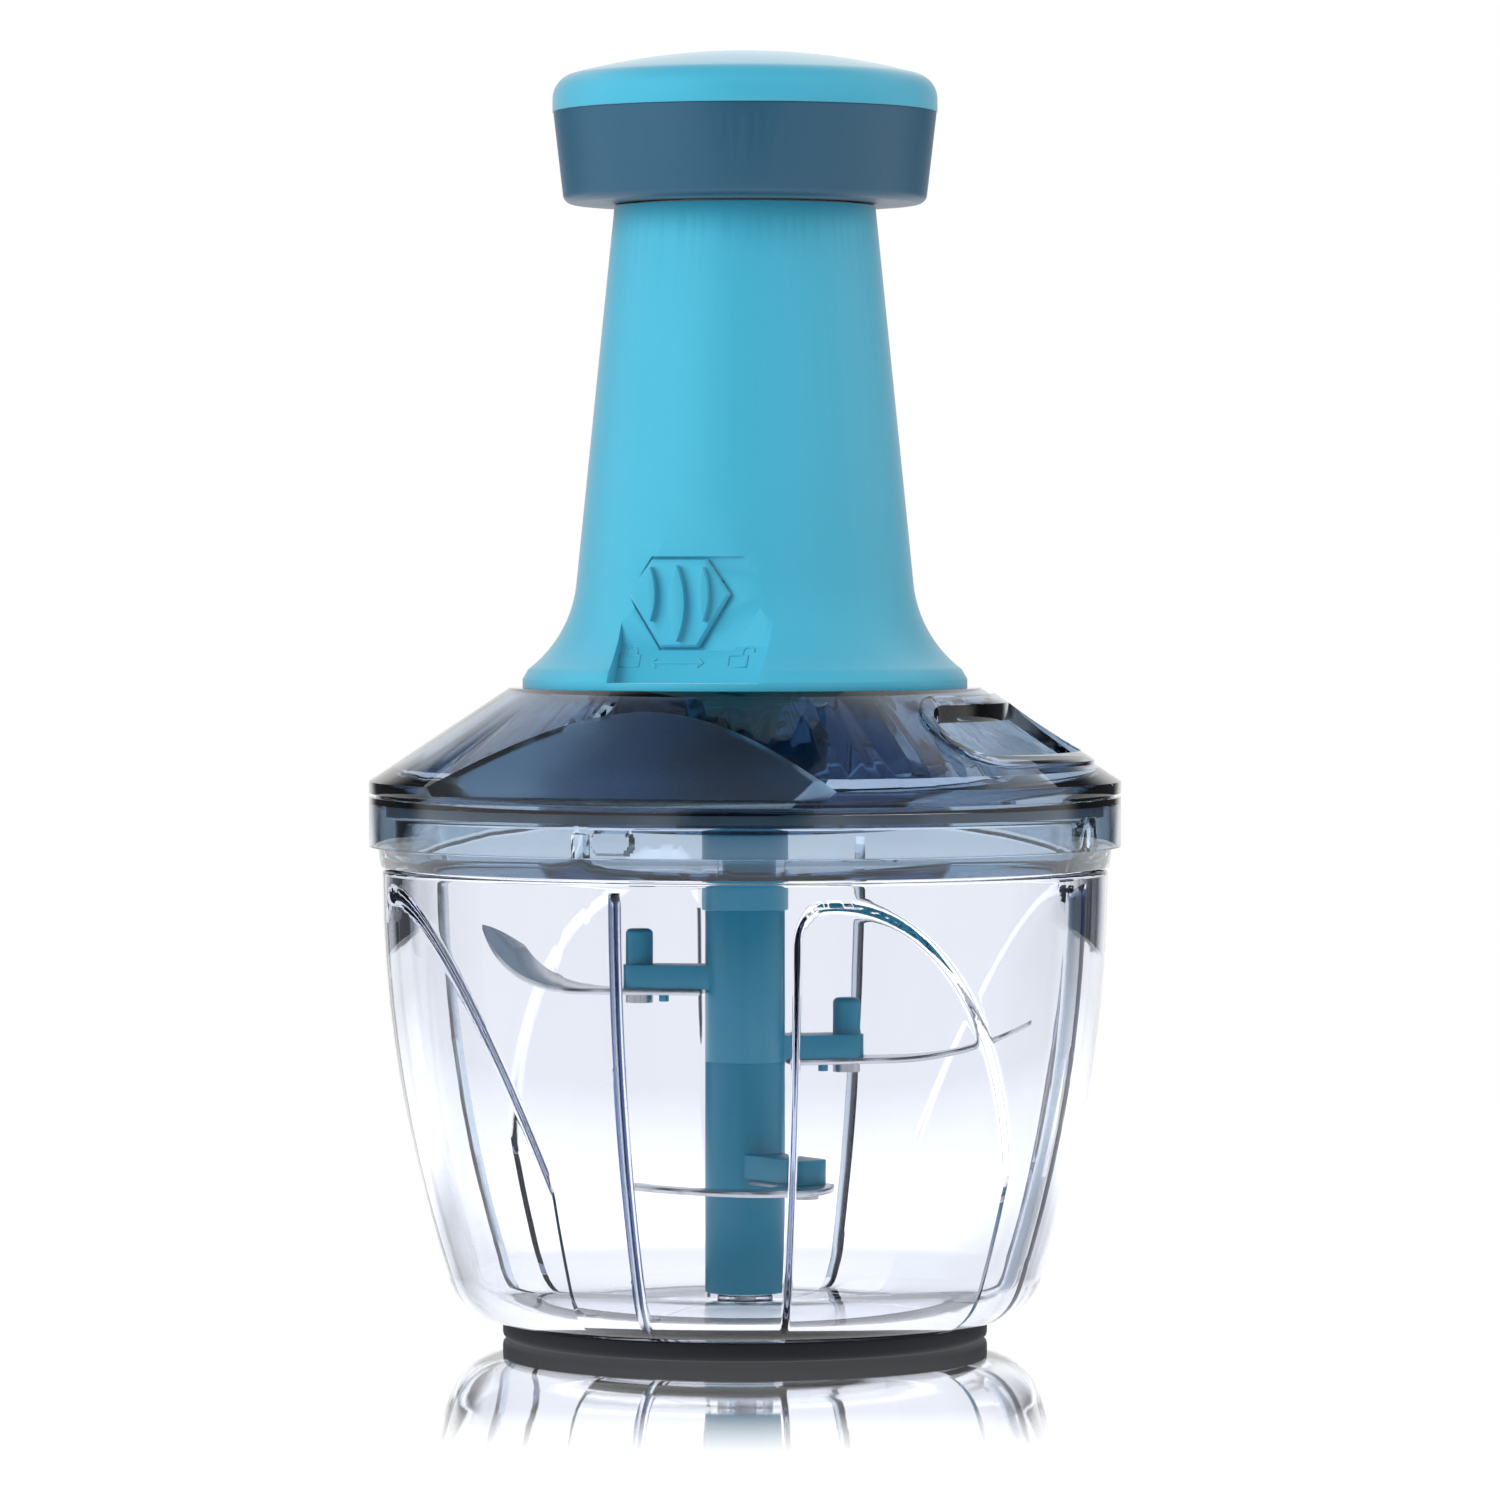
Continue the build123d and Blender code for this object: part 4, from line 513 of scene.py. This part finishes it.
def rib_height(r, z, azimuth):
    """A half-round bar."""
    across = math.radians(sector_az(azimuth, LUG_AZ)) * r / RIB_HALF
    return RIB_DEPTH * math.sqrt(max(1 - across ** 2, 0)) * ease((RIB_TOP_Z - z) / RIB_EDGE)


def baffle_height(r, z, azimuth):
    """How far a raised field stands in: beyond its upright side and its sloping cut."""
    beside = math.radians(sector_az(azimuth, BAFFLE_AZ)) * r
    off = math.radians(sector_az(azimuth, BAFFLE_AZ + BAFFLE_LEAN))
    plane = wall_r(BAFFLE_TOP_Z, WALL) - (BAFFLE_TOP_Z - z) * BAFFLE_SLOPE
    steep = math.hypot(math.sin(off), BAFFLE_SLOPE)
    beyond = (r * math.cos(off) - plane) / steep
    inside = min(beside, beyond)
    if max(beside, beyond) < BAFFLE_TOP_ROUND:
        inside = BAFFLE_TOP_ROUND - math.hypot(BAFFLE_TOP_ROUND - beside, BAFFLE_TOP_ROUND - beyond)
    return BAFFLE_THICK * ease(inside / BAFFLE_EDGE + 0.5)


def lug_height(r, z, azimuth):
    along = max(abs(math.radians(sector_az(azimuth, LUG_AZ))) * r - LUG_HALF, 0)
    return LUG_REACH * ease((LUG_R - math.hypot(along, z - LUG_Z)) / LUG_EDGE + 0.5)


# %% The bowl's skin
FLAT_R = 4 * BOSS_R
BAND = 1.0
WALL_ROWS = 84
NECK_ROWS = 16
OUTER_ROWS = 10
HEEL_ROWS = 7
# Where the azimuths lie close, as from, to and count in degrees off each lug's middle: the rib,
# the upright side of the raised field, and the side that leans.
AZIMUTH_RUNS = [(-4.2, -1.6, 10), (-1.6, 1.6, 20), (1.6, 4.2, 10), (4.2, 28.1, 10), (28.1, 30.5, 15),
                (30.5, 64, 42), (64, 81, 40), (81, 85.8, 2)]

azimuths = []
for sector in range(4):
    middle = LUG_AZ + sector * SECTOR
    for start, end, count in AZIMUTH_RUNS:
        azimuths += [middle + start + (end - start) * step / count for step in range(count)]
boss_z = FLOOR_Z + BOSS_H
pin_z = FLOOR_Z - PIN_SINK
path = rounded_path([
    (0, pin_z, 0), (PIN_HOLE_R, pin_z, 0), (PIN_HOLE_R, boss_z, PIN_HOLE_ROUND),
    (BOSS_R, boss_z, BOSS_ROUND), (BOSS_R, FLOOR_Z, BOSS_ROUND), (FLAT_R, FLOOR_Z, 0)])
wall_first = len(path)
path += heel_points(FLOOR_Z, FLOOR_Z + FLOOR_ROUND_H, WALL, HEEL_ROWS)
path += wall_points(FLOOR_Z + FLOOR_ROUND_H, SHOULDER_Z, WALL, WALL_ROWS)[1:]
wall_last = len(path)
path += rounded_path([
    (BOWL_R - WALL, SHOULDER_Z + BAND, 0), (BOWL_R - WALL, RIM_Z, RIM_ROUND_IN),
    (NECK_R, RIM_Z, RIM_ROUND_OUT), (NECK_R, LUG_HIGH_Z, 0)])
neck_first = len(path)
lug_field = LUG_HIGH_Z - LUG_LOW_Z
path += [(NECK_R, LUG_HIGH_Z - lug_field * step / NECK_ROWS) for step in range(1, NECK_ROWS)]
neck_last = len(path)
path += rounded_path([
    (NECK_R, LUG_LOW_Z, 0), (NECK_R, SHOULDER_Z, SHOULDER_ROUND_IN),
    (BOWL_R, SHOULDER_Z, SHOULDER_ROUND_OUT), (wall_r(SHOULDER_Z - BAND), SHOULDER_Z - BAND, 0)])
heel_z = UNDER_Z + HEEL_H
path += wall_points(SHOULDER_Z - 2 * BAND, heel_z, 0, OUTER_ROWS)
heel = heel_points(UNDER_Z, heel_z, 0, HEEL_ROWS)
path += list(reversed(heel))[1:]
foot_r = heel[0][0] - FOOT_MID_IN
groove_out, groove_in = foot_r + GROOVE_HALF, foot_r - GROOVE_HALF
groove_z = UNDER_Z + GROOVE_H
path += [(groove_out, UNDER_Z), (groove_out, groove_z), (groove_in, groove_z), (groove_in, UNDER_Z),
         (BOSS_R, UNDER_Z), (0, UNDER_Z)]


def bowl_push(r, z, azimuth, row):
    if wall_first <= row < wall_last:
        return -max(rib_height(r, z, azimuth), baffle_height(r, z, azimuth))
    if neck_first <= row < neck_last:
        return lug_height(r, z, azimuth)
    return 0


bowl_skin = swung("bowl_skin", path, azimuths, bowl_push)
bowl = install(bowl_skin, "bowl_moulded", "bowl", [bowl_clear, rib_satin_and_painted_shade])
# Rib faces take the rough finish, whose grey-blue tint is painted shade.
satin = 0
for face in bowl.data.polygons:
    x, y, z = face.center / MM
    r = math.hypot(x, y)
    azimuth = math.degrees(math.atan2(x, -y))
    raised = wall_r(z, WALL) - r > SATIN_SHADE_SHARE * RIB_DEPTH and rib_height(r, z, azimuth) > 0
    if raised and FLOOR_Z + BAND < z < RIB_TOP_Z:
        face.material_index = 1
        satin += 1
print("satin rib faces", satin)

# %% [markdown]
# ## The foot
# A black rubber ring is pressed into a groove under the bowl. Its lower edge is rounded, so only
# a thin dark band shows between the clear heel and the table.

# %% Rubber foot
TONGUE_HALF = 1.2
TONGUE_ROUND = 0.2
RING_ROUND_OUT = 1.2
RING_ROUND_TOP = 0.3
RING_ROUND_IN = 0.6
RING_AZIMUTHS = 128

low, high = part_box("base_ring")
ring_r, tongue_z = high[0] / MM, high[2] / MM
inner_r = 2 * foot_r - ring_r
tongue_out, tongue_in = foot_r + TONGUE_HALF, foot_r - TONGUE_HALF
ring_path = rounded_path([
    (foot_r, 0, 0), (ring_r, 0, RING_ROUND_OUT), (ring_r, UNDER_Z, RING_ROUND_TOP),
    (tongue_out, UNDER_Z, 0), (tongue_out, tongue_z, TONGUE_ROUND),
    (tongue_in, tongue_z, TONGUE_ROUND), (tongue_in, UNDER_Z, 0),
    (inner_r, UNDER_Z, RING_ROUND_TOP), (inner_r, 0, RING_ROUND_IN), (foot_r, 0, 0)])
ring_mesh = swung("foot_skin", ring_path, even_turn(RING_AZIMUTHS))
shape = bmesh.new()
shape.from_mesh(ring_mesh)
bmesh.ops.remove_doubles(shape, verts=shape.verts, dist=MERGE_MM * MM)
bmesh.ops.recalc_face_normals(shape, faces=shape.faces)
shape.to_mesh(ring_mesh)
shape.free()
install(ring_mesh, "base_ring_moulded", "base_ring", [rubber])

# %% [markdown]
# ## Rings of screws
# Four screws hold the handle's base and three hold the knob. One screw is made as a turned skin
# with a cross recess, and Geometry Nodes puts a copy on each point of a circle. The tree has a
# named input for each size, so both rings come from it. Realize Instances turns the copies into
# real faces, which the export needs.

# %% A tree with named inputs, and how it is run
def new_tree(name, sockets):
    """A Geometry Nodes tree with a geometry input and these others; gives it and its inputs."""
    tree = bpy.data.node_groups.new(name, "GeometryNodeTree")
    tree.interface.new_socket("Geometry", in_out="INPUT", socket_type="NodeSocketGeometry")
    for label, kind in sockets.items():
        tree.interface.new_socket(label, in_out="INPUT", socket_type="NodeSocket" + kind)
    tree.interface.new_socket("Geometry", in_out="OUTPUT", socket_type="NodeSocketGeometry")
    return tree, tree.nodes.new("NodeGroupInput").outputs


def finish_tree(tree, geometry, finish):
    """Ends a tree in real faces with one material."""
    real = add(tree, "GeometryNodeRealizeInstances", {"Geometry": geometry})
    coated = add(tree, "GeometryNodeSetMaterial", {"Geometry": real.outputs[0], "Material": finish})
    add(tree, "NodeGroupOutput", {"Geometry": coated.outputs[0]})


def run_tree(name, tree, mesh, values):
    """The plain mesh that a tree makes; an input is set by its socket's identifier."""
    holder = bpy.data.objects.new(name, mesh)
    bpy.context.scene.collection.objects.link(holder)
    modifier = holder.modifiers.new(name, "NODES")
    modifier.node_group = tree
    for socket in tree.interface.items_tree:
        if socket.in_out == "INPUT" and socket.name in values:
            modifier[socket.identifier] = values[socket.name]
    return baked(holder)


# %% Copies on a circle
ring_tree, sizes = new_tree("ring_of_copies", {
    "Count": "Int", "Circle Radius": "Float", "First Angle": "Float", "Finish": "Material"})
circle = add(ring_tree, "GeometryNodeMeshCircle",
             {"Vertices": sizes["Count"], "Radius": sizes["Circle Radius"]})
turn = add(ring_tree, "ShaderNodeCombineXYZ", {"Z": sizes["First Angle"]})
turned = add(ring_tree, "GeometryNodeTransform",
             {"Geometry": circle.outputs[0], "Rotation": turn.outputs[0]})
copies = add(ring_tree, "GeometryNodeInstanceOnPoints",
             {"Points": turned.outputs[0], "Instance": sizes["Geometry"]})
finish_tree(ring_tree, copies.outputs[0], sizes["Finish"])

# %% The two rings of screws
SCREW_AZIMUTHS = 48
RECESS_REACH = 0.6
RECESS_HALF_W = 0.15
RECESS_ROWS = (1, 2)
LEAST_SINE = 0.01


def screw_skin(name, shank_r, head_r, head_h, low_z, high_z):
    """A pan screw that points up, with a cross recess in its head."""
    arm, half = head_r * RECESS_REACH, head_r * RECESS_HALF_W
    middle_z, seat_z = low_z + head_h / 2, low_z + head_h
    outline = rounded_path([
        (0, middle_z, 0), (arm, middle_z, 0), (arm, low_z, 0), (head_r, low_z, head_h / 2),
        (head_r, seat_z, 0), (shank_r, seat_z, 0), (shank_r, high_z - shank_r, 0),
        (shank_r / 3, high_z, 0), (0, high_z, 0)])

    def recess(r, z, azimuth, row):
        """Draws the round hole in the head out to a cross."""
        if row not in RECESS_ROWS:
            return 0
        off = abs(math.radians(sector_az(azimuth, 0)))
        return min(arm / math.cos(off), half / max(math.sin(off), LEAST_SINE)) - r

    return swung(name, outline, even_turn(SCREW_AZIMUTHS), recess)


SCREW_RINGS = {  # shank radius, head radius, head height, count, azimuth of the first
    "base_screws": (1.5, 2.6, 1.8, 4, 45),
    "knob_screws": (1.3, 2.5, 1.8, 3, 0),
}
for name, (shank_r, head_r, head_h, count, first) in SCREW_RINGS.items():
    low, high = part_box(name)
    if first == 0:
        middle_r = -low.y / MM - head_r
    else:
        middle_r = (high.x / MM - head_r) / math.sin(math.radians(first))
    skin = screw_skin(name + "_skin", shank_r, head_r, head_h, low.z / MM, high.z / MM)
    mesh = run_tree(name + "_ring", ring_tree, skin, {
        "Count": count, "Circle Radius": middle_r * MM, "First Angle": math.radians(first - 90),
        "Finish": steel})
    install(mesh, name + "_turned", name, [steel])
    print(name, "on a circle of radius", round(middle_r, 2), "mm")

# %% [markdown]
# ## The clutch spring
# A small coil pushes the clutch together. Its rule is one line: a wire that climbs evenly while it
# goes round. A Spiral curve follows that rule, and Curve to Mesh gives it the wire's round section.

# %% Coil
TURN_STEPS = 48
WIRE_STEPS = 12
CLUTCH_TURNS = 3.0
CLUTCH_WIRE_R = 0.4

coil_tree, sizes = new_tree("coil", {"Turns": "Float", "Coil Radius": "Float", "Height": "Float",
                                     "Wire Radius": "Float", "Foot": "Vector", "Finish": "Material"})
spiral = add(coil_tree, "GeometryNodeCurveSpiral", {
    "Rotations": sizes["Turns"], "Start Radius": sizes["Coil Radius"], "End Radius": sizes["Coil Radius"],
    "Height": sizes["Height"]}, Resolution=TURN_STEPS)
section = add(coil_tree, "GeometryNodeCurvePrimitiveCircle", {"Radius": sizes["Wire Radius"]},
              Resolution=WIRE_STEPS)
wire = add(coil_tree, "GeometryNodeCurveToMesh",
           {"Curve": spiral.outputs[0], "Profile Curve": section.outputs[0]}, Fill_Caps=True)
lifted = add(coil_tree, "GeometryNodeTransform",
             {"Geometry": wire.outputs[0], "Translation": sizes["Foot"]})
finish_tree(coil_tree, lifted.outputs[0], sizes["Finish"])

low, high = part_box("clutch_spring")
wire_r = CLUTCH_WIRE_R * MM
mesh = run_tree("clutch_coil", coil_tree, bpy.data.meshes.new("clutch_coil"), {
    "Turns": CLUTCH_TURNS, "Coil Radius": high.x - wire_r, "Height": high.z - low.z - 2 * wire_r,
    "Wire Radius": wire_r, "Foot": (0, 0, low.z + wire_r), "Finish": steel})
install(mesh, "clutch_spring_wound", "clutch_spring", [steel])

# %% [markdown]
# ## The lock's marks
# Small raised signs under the thumb slide say which way it locks: a closed padlock, an arrow with
# two heads and an open padlock. They are as thin as a mould maker would cut them. Each stroke is a
# round line that lies on the panel's leaning foot, sunk to half its width.

# %% Raised signs
SIGN_R = 0.25
SIGN_SCALE = 1.15
SIGN_Z = 123.1
PANEL_BEND_Z = 125.0
PANEL_Y = -29.0
PANEL_SLOPE = 0.656
PADLOCK_BODY = [(-1.5, -1.7), (1.5, -1.7), (1.5, 0.3), (-1.5, 0.3)]
SHACKLE_FOOT = 0.3
SHACKLE_MIDDLE = 1.0
SHACKLE_R = 0.9
SHACKLE_STEPS = 8


def foot_point(across, up):
    """A place on the panel's leaning foot, from mm across and mm up the slope."""
    z = SIGN_Z + up / math.hypot(1, PANEL_SLOPE)
    return (across * MM, (PANEL_Y - (PANEL_BEND_Z - z) * PANEL_SLOPE) * MM, z * MM, 1)


def padlock(middle, aside):
    """A padlock's strokes; its shackle stands aside when it is open."""
    shackle = [(aside - SHACKLE_R, SHACKLE_FOOT)]
    for step in range(SHACKLE_STEPS + 1):
        angle = math.pi * (1 - step / SHACKLE_STEPS)
        shackle.append((aside + SHACKLE_R * math.cos(angle), SHACKLE_MIDDLE + SHACKLE_R * math.sin(angle)))
    if aside == 0:
        shackle.append((SHACKLE_R, SHACKLE_FOOT))
    placed = []
    for stroke in (PADLOCK_BODY, shackle):
        placed.append([(middle + SIGN_SCALE * x, SIGN_SCALE * y) for x, y in stroke])
    return [(placed[0], True), (placed[1], False)]


strokes = padlock(-11.9, 0) + padlock(8.0, 1.5)
strokes += [([(-7.9, -1.2), (1.7, -1.2)], False), ([(-6.9, -0.3), (-7.9, -1.2), (-6.9, -2.1)], False),
            ([(0.7, -0.3), (1.7, -1.2), (0.7, -2.1)], False)]
signs = bpy.data.curves.new("lock_signs", "CURVE")
signs.dimensions = "3D"
signs.bevel_depth = SIGN_R * MM
signs.bevel_resolution = 1
signs.use_fill_caps = True
for points, closed in strokes:
    spline = signs.splines.new("POLY")
    spline.points.add(len(points) - 1)
    for point, place in zip(spline.points, points):
        point.co = foot_point(*place)
    spline.use_cyclic_u = closed
holder = bpy.data.objects.new("lock_signs", signs)
bpy.context.scene.collection.objects.link(holder)
mesh = baked(holder)
mesh.materials.clear()
mesh.materials.append(cyan)
mesh.shade_smooth()
lock_signs = bpy.data.objects.new("lock_signs_raised", mesh)
bpy.context.scene.collection.objects.link(lock_signs)
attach(lock_signs, BODY_OF["handle_shell"])
print("lock signs", len(mesh.polygons), "faces")

# %% [markdown]
# ## Studio
# A white table with a polish that shows the foot's mirror image close by, plain light from both
# sides, and a white surround. What the camera, glass and gloss see of the surround is pure white,
# and the light it gives is lower, so the piece keeps its own colours. Dark cards that only
# reflections and glass see draw the edges of the clear bowl.

# %% Rays that see the surround
def seen_rays(tree):
    """1 for rays from the camera, or that mirror or pass glass; 0 for light that spreads."""
    light_path = add(tree, "ShaderNodeLightPath").outputs
    either = add(tree, "ShaderNodeMath", {0: light_path["Is Camera Ray"], 1: light_path["Is Glossy Ray"]},
                 operation="MAXIMUM")
    return add(tree, "ShaderNodeMath", {0: either.outputs[0], 1: light_path["Is Transmission Ray"]},
               operation="MAXIMUM").outputs[0]


def plate(name, corners, material):
    """A flat card from four corners."""
    mesh = bpy.data.meshes.new(name)
    mesh.from_pydata(corners, [], [(0, 1, 2, 3)])
    mesh.materials.append(material)
    made = bpy.data.objects.new(name, mesh)
    bpy.context.scene.collection.objects.link(made)
    return made


# %% Table
SPREAD_LEVEL = 0.5
TABLE_HALF = 30.0
MIRROR_GAIN = 1.8
MIRROR_NEAR = 120 * MM
MIRROR_FAR = 210 * MM
TABLE_NEAR = 120 * MM
TABLE_FAR = 600 * MM

table_white, tree = new_material("acrylic_white_polished")
place = add(tree, "ShaderNodeTexCoord").outputs["Object"]
radius = add(tree, "ShaderNodeVectorMath", {0: place}, operation="LENGTH").outputs["Value"]
seen = seen_rays(tree)
matt = add(tree, "ShaderNodeBsdfDiffuse", Color=(0.8, 0.8, 0.8, 1))
glow = add(tree, "ShaderNodeEmission", {"Strength": seen})
near = add(tree, "ShaderNodeAddShader", {0: matt.outputs[0], 1: glow.outputs[0]})
far_glow = add(tree, "ShaderNodeMapRange", {"Value": seen}, To_Min=SPREAD_LEVEL)
far = add(tree, "ShaderNodeEmission", {"Strength": far_glow.outputs["Result"]})
away = add(tree, "ShaderNodeMapRange", {"Value": radius}, From_Min=TABLE_NEAR, From_Max=TABLE_FAR)
body = add(tree, "ShaderNodeMixShader", {0: away.outputs["Result"], 1: near.outputs[0], 2: far.outputs[0]})
polish = add(tree, "ShaderNodeMapRange", {"Value": radius}, From_Min=MIRROR_NEAR, From_Max=MIRROR_FAR,
             To_Min=MIRROR_GAIN, To_Max=0.0)
fresnel = add(tree, "ShaderNodeFresnel", IOR=1.49)
share = add(tree, "ShaderNodeMath", {0: fresnel.outputs[0], 1: polish.outputs["Result"]},
            operation="MULTIPLY")
gloss = add(tree, "ShaderNodeBsdfGlossy", Roughness=0.03, Color=(1, 1, 1, 1))
mix = add(tree, "ShaderNodeMixShader", {0: share.outputs[0], 1: body.outputs[0], 2: gloss.outputs[0]})
add(tree, "ShaderNodeOutputMaterial", {"Surface": mix.outputs[0]})
plate("table", [(-TABLE_HALF, -TABLE_HALF, 0), (TABLE_HALF, -TABLE_HALF, 0), (TABLE_HALF, TABLE_HALF, 0),
                (-TABLE_HALF, TABLE_HALF, 0)], table_white)

# %% Surround
world = bpy.data.worlds.new("studio")
bpy.context.scene.world = world
world.use_nodes = True
tree = world.node_tree
tree.nodes.clear()
level = add(tree, "ShaderNodeMapRange", {"Value": seen_rays(tree)}, To_Min=SPREAD_LEVEL)
back = add(tree, "ShaderNodeBackground", {"Strength": level.outputs["Result"]}, Color=(1, 1, 1, 1))
add(tree, "ShaderNodeOutputWorld", {"Surface": back.outputs[0]})


# %% Lamps
LAMP_AIM = Vector((0, 0, 0.12))


def lamp(name, place, size, power):
    """A soft box that looks at the middle of the piece, and that no mirror or glass shows."""
    data = bpy.data.lights.new(name, "AREA")
    data.shape = "RECTANGLE"
    data.size, data.size_y = size
    data.energy = power
    made = bpy.data.objects.new(name, data)
    made.location = place
    made.rotation_euler = (LAMP_AIM - Vector(place)).to_track_quat("-Z", "Y").to_euler()
    made.visible_glossy = made.visible_transmission = False
    bpy.context.scene.collection.objects.link(made)
    print(name, power, "W")


lamp("key_left", (-0.82, -1.26, 0.6), (1.0, 1.4), 20)
lamp("fill_right", (1.47, 0.31, 0.5), (0.5, 1.2), 9)

# %% Dark cards
CAMERA_AZ = 17.0
CARD_NEAR_AZ = 45
CARD_BACK_AZ = 135
CARD_FAR = 0.9
CARD_NEAR_HALF = 0.22
CARD_BACK_HALF = 0.45
CARD_TOP = 0.7
CARD_COVER = 0.98
SOFT_FROM = 0.25
FRONT_FAR = 1.6
FRONT_HALF = 0.75
FRONT_TOP = 1.6
ROOF_HALF = 0.95
ROOF_H = 1.15

card_dark, tree = new_material("card_black_soft_edged")
place = add(tree, "ShaderNodeTexCoord").outputs["UV"]
parts = add(tree, "ShaderNodeSeparateXYZ", {0: place}).outputs
shares = []
for axis in ("X", "Y"):
    middle = add(tree, "ShaderNodeMath", {0: parts[axis]}, operation="SUBTRACT")
    middle.inputs[1].default_value = 0.5
    away = add(tree, "ShaderNodeMath", {0: middle.outputs[0]}, operation="ABSOLUTE").outputs[0]
    fade = add(tree, "ShaderNodeMapRange", {"Value": away}, From_Min=SOFT_FROM, From_Max=0.5,
               To_Min=CARD_COVER, To_Max=0.0, interpolation_type="SMOOTHSTEP")
    shares.append(fade.outputs["Result"])
share = add(tree, "ShaderNodeMath", {0: shares[0], 1: shares[1]}, operation="MULTIPLY")
dark = add(tree, "ShaderNodeEmission", Color=(0.02, 0.022, 0.03, 1))
none = add(tree, "ShaderNodeBsdfTransparent")
mix = add(tree, "ShaderNodeMixShader", {0: share.outputs[0], 1: none.outputs[0], 2: dark.outputs[0]})
add(tree, "ShaderNodeOutputMaterial", {"Surface": mix.outputs[0]})


def dark_card(name, corners, soft_ends, mirrored):
    """A card that only glass and, on request, mirrors see; its ends are soft on request."""
    card = plate(name, corners, card_dark)
    uv = card.data.uv_layers.new(name="across")
    low, high = (0, 1) if soft_ends else (0.5, 0.5)
    for loop, value in enumerate([(0, low), (1, low), (1, high), (0, high)]):
        uv.data[loop].uv = value
    card.visible_camera = card.visible_diffuse = card.visible_shadow = False
    card.visible_glossy = mirrored


def upright_card(name, azimuth, far, half, height, mirrored):
    """A card that stands on the table and faces the piece."""
    angle = math.radians(azimuth)
    centre = Vector((math.sin(angle), -math.cos(angle), 0)) * far
    side = Vector((math.cos(angle), math.sin(angle), 0)) * half
    top = Vector((0, 0, height))
    corners = [centre - side, centre + side, centre + side + top, centre - side + top]
    dark_card(name, corners, False, mirrored)


for side in (-1, 1):
    near_az, back_az = CAMERA_AZ + CARD_NEAR_AZ * side, CAMERA_AZ + CARD_BACK_AZ * side
    upright_card(f"card_near_{side}", near_az, CARD_FAR, CARD_NEAR_HALF, CARD_TOP, False)
    upright_card(f"card_back_{side}", back_az, CARD_FAR, CARD_BACK_HALF, CARD_TOP, True)
upright_card("card_front", CAMERA_AZ, FRONT_FAR, FRONT_HALF, FRONT_TOP, True)
roof = [(-ROOF_HALF, -ROOF_HALF, ROOF_H), (ROOF_HALF, -ROOF_HALF, ROOF_H), (ROOF_HALF, ROOF_HALF, ROOF_H),
        (-ROOF_HALF, ROOF_HALF, ROOF_H)]
dark_card("card_roof", roof, True, True)
bpy.data.objects["card_roof"].visible_transmission = False

# %% [markdown]
# ## Camera
# A long lens from just above the lid's height, a little to the right of the lock.

# %% Camera
CAMERA_H = 141 * MM
CAMERA_DISTANCE = 1330 * MM
AIM_H = 106 * MM
LENS_MM = 177
SENSOR_MM = 36
FRAME_SHIFT = 0.9 / 270    # the piece stands 0.9 mm beside the middle of a frame 270 mm wide
GLASS_BOUNCES = 24

camera_data = bpy.data.cameras.new("camera")
camera = bpy.data.objects.new("camera", camera_data)
bpy.context.scene.collection.objects.link(camera)
bpy.context.scene.camera = camera
turn = math.radians(CAMERA_AZ)
camera.location = (CAMERA_DISTANCE * math.sin(turn), -CAMERA_DISTANCE * math.cos(turn), CAMERA_H)
aim = Vector((0, 0, AIM_H)) - camera.location
camera.rotation_euler = aim.to_track_quat("-Z", "Y").to_euler()
camera_data.lens = LENS_MM
camera_data.sensor_width = SENSOR_MM
camera_data.shift_x = FRAME_SHIFT
camera_data.clip_end = 2 * TABLE_HALF

scene = bpy.context.scene
scene.view_settings.view_transform = "Standard"
scene.cycles.max_bounces = scene.cycles.transmission_bounces = GLASS_BOUNCES
scene.cycles.transparent_max_bounces = 16
scene.cycles.glossy_bounces = 8
scene.cycles.diffuse_bounces = 4
